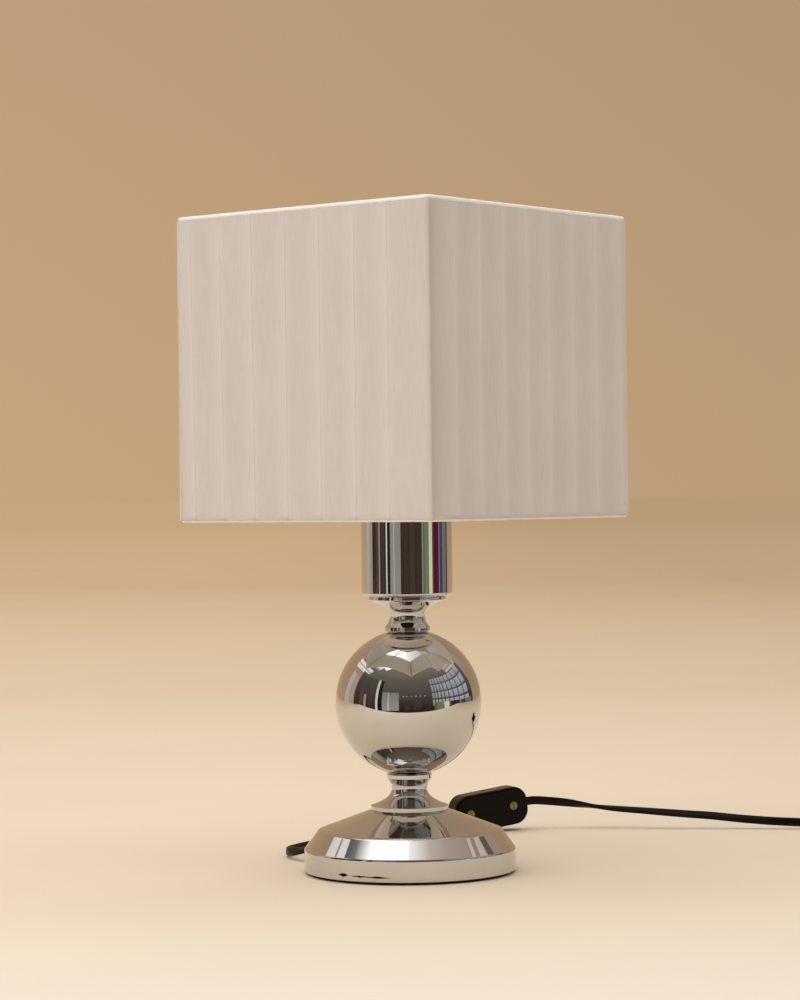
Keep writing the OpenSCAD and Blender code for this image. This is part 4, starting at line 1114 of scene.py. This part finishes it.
# Roof lights, as shares of their height: to the right, from and to, towards the camera, from and to;
# then the glow at the left and at the right
SKYLIGHTS = [
    (-1.47, -1.27, -1.0, 0.2, 0.95, 1.05), (-1.23, -1.08, -0.9, 0.25, 1.05, 1.05),
    (-1.08, -0.91, -0.6, 0.3, 0.14, 0.25), (-0.91, -0.66, -0.3, 0.4, 0.28, 1.6),
    (-0.66, -0.03, -0.1, 0.55, 1.75, 1.75), (-0.03, 0.31, -0.05, 0.55, 1.35, 0.75),
    (0.31, 0.6, -0.1, 0.5, 0.72, 0.55), (0.6, 1.0, -0.3, 0.4, 0.55, 0.47),
    (1.01, 1.08, -0.6, 0.2, 0.8, 0.8), (1.08, 1.16, -0.7, 0.2, 0.38, 0.38),
    (1.16, 1.3, -0.8, 0.2, 0.8, 0.7),
]
SKYLIGHT_COOL = Vector((1, 0.98, 0.95))
SKYLIGHT_WARM = Vector((1, 0.81, 0.69))
SKYLIGHT_TURN = 0.5
SKYLIGHT_H = 2.0


def make_card(name, below, above, across, along, place):
    """A glowing card that only the chrome sees."""
    finish, tree, bsdf = shader(name + "_glow")
    tree.nodes.remove(bsdf)
    apart = node(tree, "SeparateXYZ")
    tree.links.new(node(tree, "UVMap", uv_map="UVMap").outputs[0], apart.inputs[0])
    light = node(tree, "Emission")
    tree.links.new(mixed(tree, apart.outputs["Y"], below, above), light.inputs["Color"])
    tree.links.new(light.outputs[0], tree.nodes["Material Output"].inputs["Surface"])
    seen_only_by_chrome(stage_piece(name, bent_grid(across, along, place), finish))


def make_cards():
    cards = list(CARDS)
    for a0, a1 in zip(PANE_BARS, PANE_BARS[1:]):
        for e0, e1 in zip(PANE_ROWS, PANE_ROWS[1:]):
            cards.append((a0 + PANE_GAP, a1 - PANE_GAP, e0 + PANE_GAP, e1 - PANE_GAP, *PANE_GLOW))
    cards += STRIPS
    for a in LAMPS:
        cards.append((a - LAMP_HALF, a + LAMP_HALF, LAMP_EL, LAMP_EL + 2 * LAMP_HALF, LAMP_GLOW, LAMP_GLOW))
    for i, (a0, a1, e0, e1, below, above) in enumerate(cards):
        far = CARD_FAR - CARD_STEP * i

        def round_card(u, v):
            return CARD_HUB + aimed(a0 + (a1 - a0) * u, e0 + (e1 - e0) * v) * far

        across = max(1, round((a1 - a0) / CARD_BEND))
        make_card("card_%d" % i, below, above, across, CARD_ROWS, round_card)
    for i, (x0, x1, y0, y1, left, right) in enumerate(SKYLIGHTS):
        def sky_card(u, v):
            across = TO_RIGHT * (x0 + (x1 - x0) * v) + TO_CAMERA * (y0 + (y1 - y0) * u)
            return CARD_HUB + (across + Vector((0, 0, 1))) * SKYLIGHT_H

        glows = []
        for at, strength in ((x0, left), (x1, right)):
            tint = SKYLIGHT_COOL.lerp(SKYLIGHT_WARM, ease(at / SKYLIGHT_TURN))
            glows.append(tuple(tint * strength) + (1,))
        make_card("skylight_%d" % i, *glows, 1, 1, sky_card)


# Soft lights: the way they shine, strength, angle across and tint
SUNS = [
    ("soft_top", Vector((0.05, 0.12, -1)), 1.6, 80, (1, 1, 1)),
    ("soft_left", TO_RIGHT * 0.9 - TO_CAMERA * 0.6 - Vector((0, 0, 0.55)), 0.48, 60, (1, 0.99, 0.97)),
]


def make_lights():
    for name, ahead, strength, angle, tint in SUNS:
        data = bpy.data.lights.new(name, "SUN")
        data.energy = strength
        data.angle = math.radians(angle)
        data.color = tint
        made = bpy.data.objects.new(name, data)
        scene.collection.objects.link(made)
        made.rotation_mode = "QUATERNION"
        made.rotation_quaternion = ahead.to_track_quat("-Z", "Y")
        made.visible_glossy = False


def make_world():
    """Even light on the object, and a plain warm backdrop for the camera, metal and glass."""
    world = bpy.data.worlds.new("studio")
    scene.world = world
    world.use_nodes = True
    tree = world.node_tree
    plain = tree.nodes["Background"]
    plain.inputs["Color"].default_value = WORLD_TINT
    plain.inputs["Strength"].default_value = WORLD_STRENGTH
    way = node(tree, "TexCoord").outputs["Generated"]
    apart = node(tree, "SeparateXYZ")
    tree.links.new(way, apart.inputs[0])
    up = apart.outputs["Z"]
    sky = mixed(tree, ranged(tree, up, 0, 0.17, 0, 1), SKY_LOW, SKY_HIGH)
    sky = mixed(tree, ranged(tree, up, 0.2, 0.8, 0, 1), sky, SKY_ROOF)
    sky = dimmed(tree, sky, ranged(tree, towards(tree, way, TO_RIGHT), -0.13, 0.13, *SKY_DIM))
    back = node(tree, "Background")
    shown = mixed(tree, ranged(tree, up, -0.06, -0.03, 0, 1), DARK_ROOM, sky)
    tree.links.new(shown, back.inputs["Color"])
    path = node(tree, "LightPath")
    seen = path.outputs["Is Camera Ray"]
    for ray in ("Is Glossy Ray", "Is Transmission Ray"):
        seen = math_of(tree, "MAXIMUM", seen, path.outputs[ray])
    joined(tree, seen, plain, back, "World Output")


def make_floor():
    """The floor, and what the chrome sees of it: paper that ends a little in front of the lamp."""
    def whole(u, v):
        return Vector((2 * u - 1, 2 * v - 1, 0)) * FLOOR_HALF

    def paper(u, v):
        half = PAPER_HALF + (FLOOR_HALF - PAPER_HALF) * v
        ahead = PAPER_FRONT - (FLOOR_HALF + PAPER_FRONT) * v
        return TO_CAMERA * ahead + TO_RIGHT * half * (2 * u - 1) + Vector((0, 0, PAPER_Z))

    finish = floor_finish()
    floor = stage_piece("floor", bent_grid(1, 1, whole), finish)
    floor.visible_glossy = False
    seen_only_by_chrome(stage_piece("floor_in_chrome", bent_grid(1, 1, paper), finish))


def make_studio():
    make_floor()
    make_cards()
    make_lights()
    make_world()


make_camera()
make_cords()
dress_nodes()
make_chrome_pieces()
make_shade()
make_studio()

bpy.context.view_layer.update()
low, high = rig.bounds()
with open("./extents.json", "w") as out:
    json.dump({"cad": [list(cad_low), list(cad_high)], "visual": [list(low), list(high)]}, out)
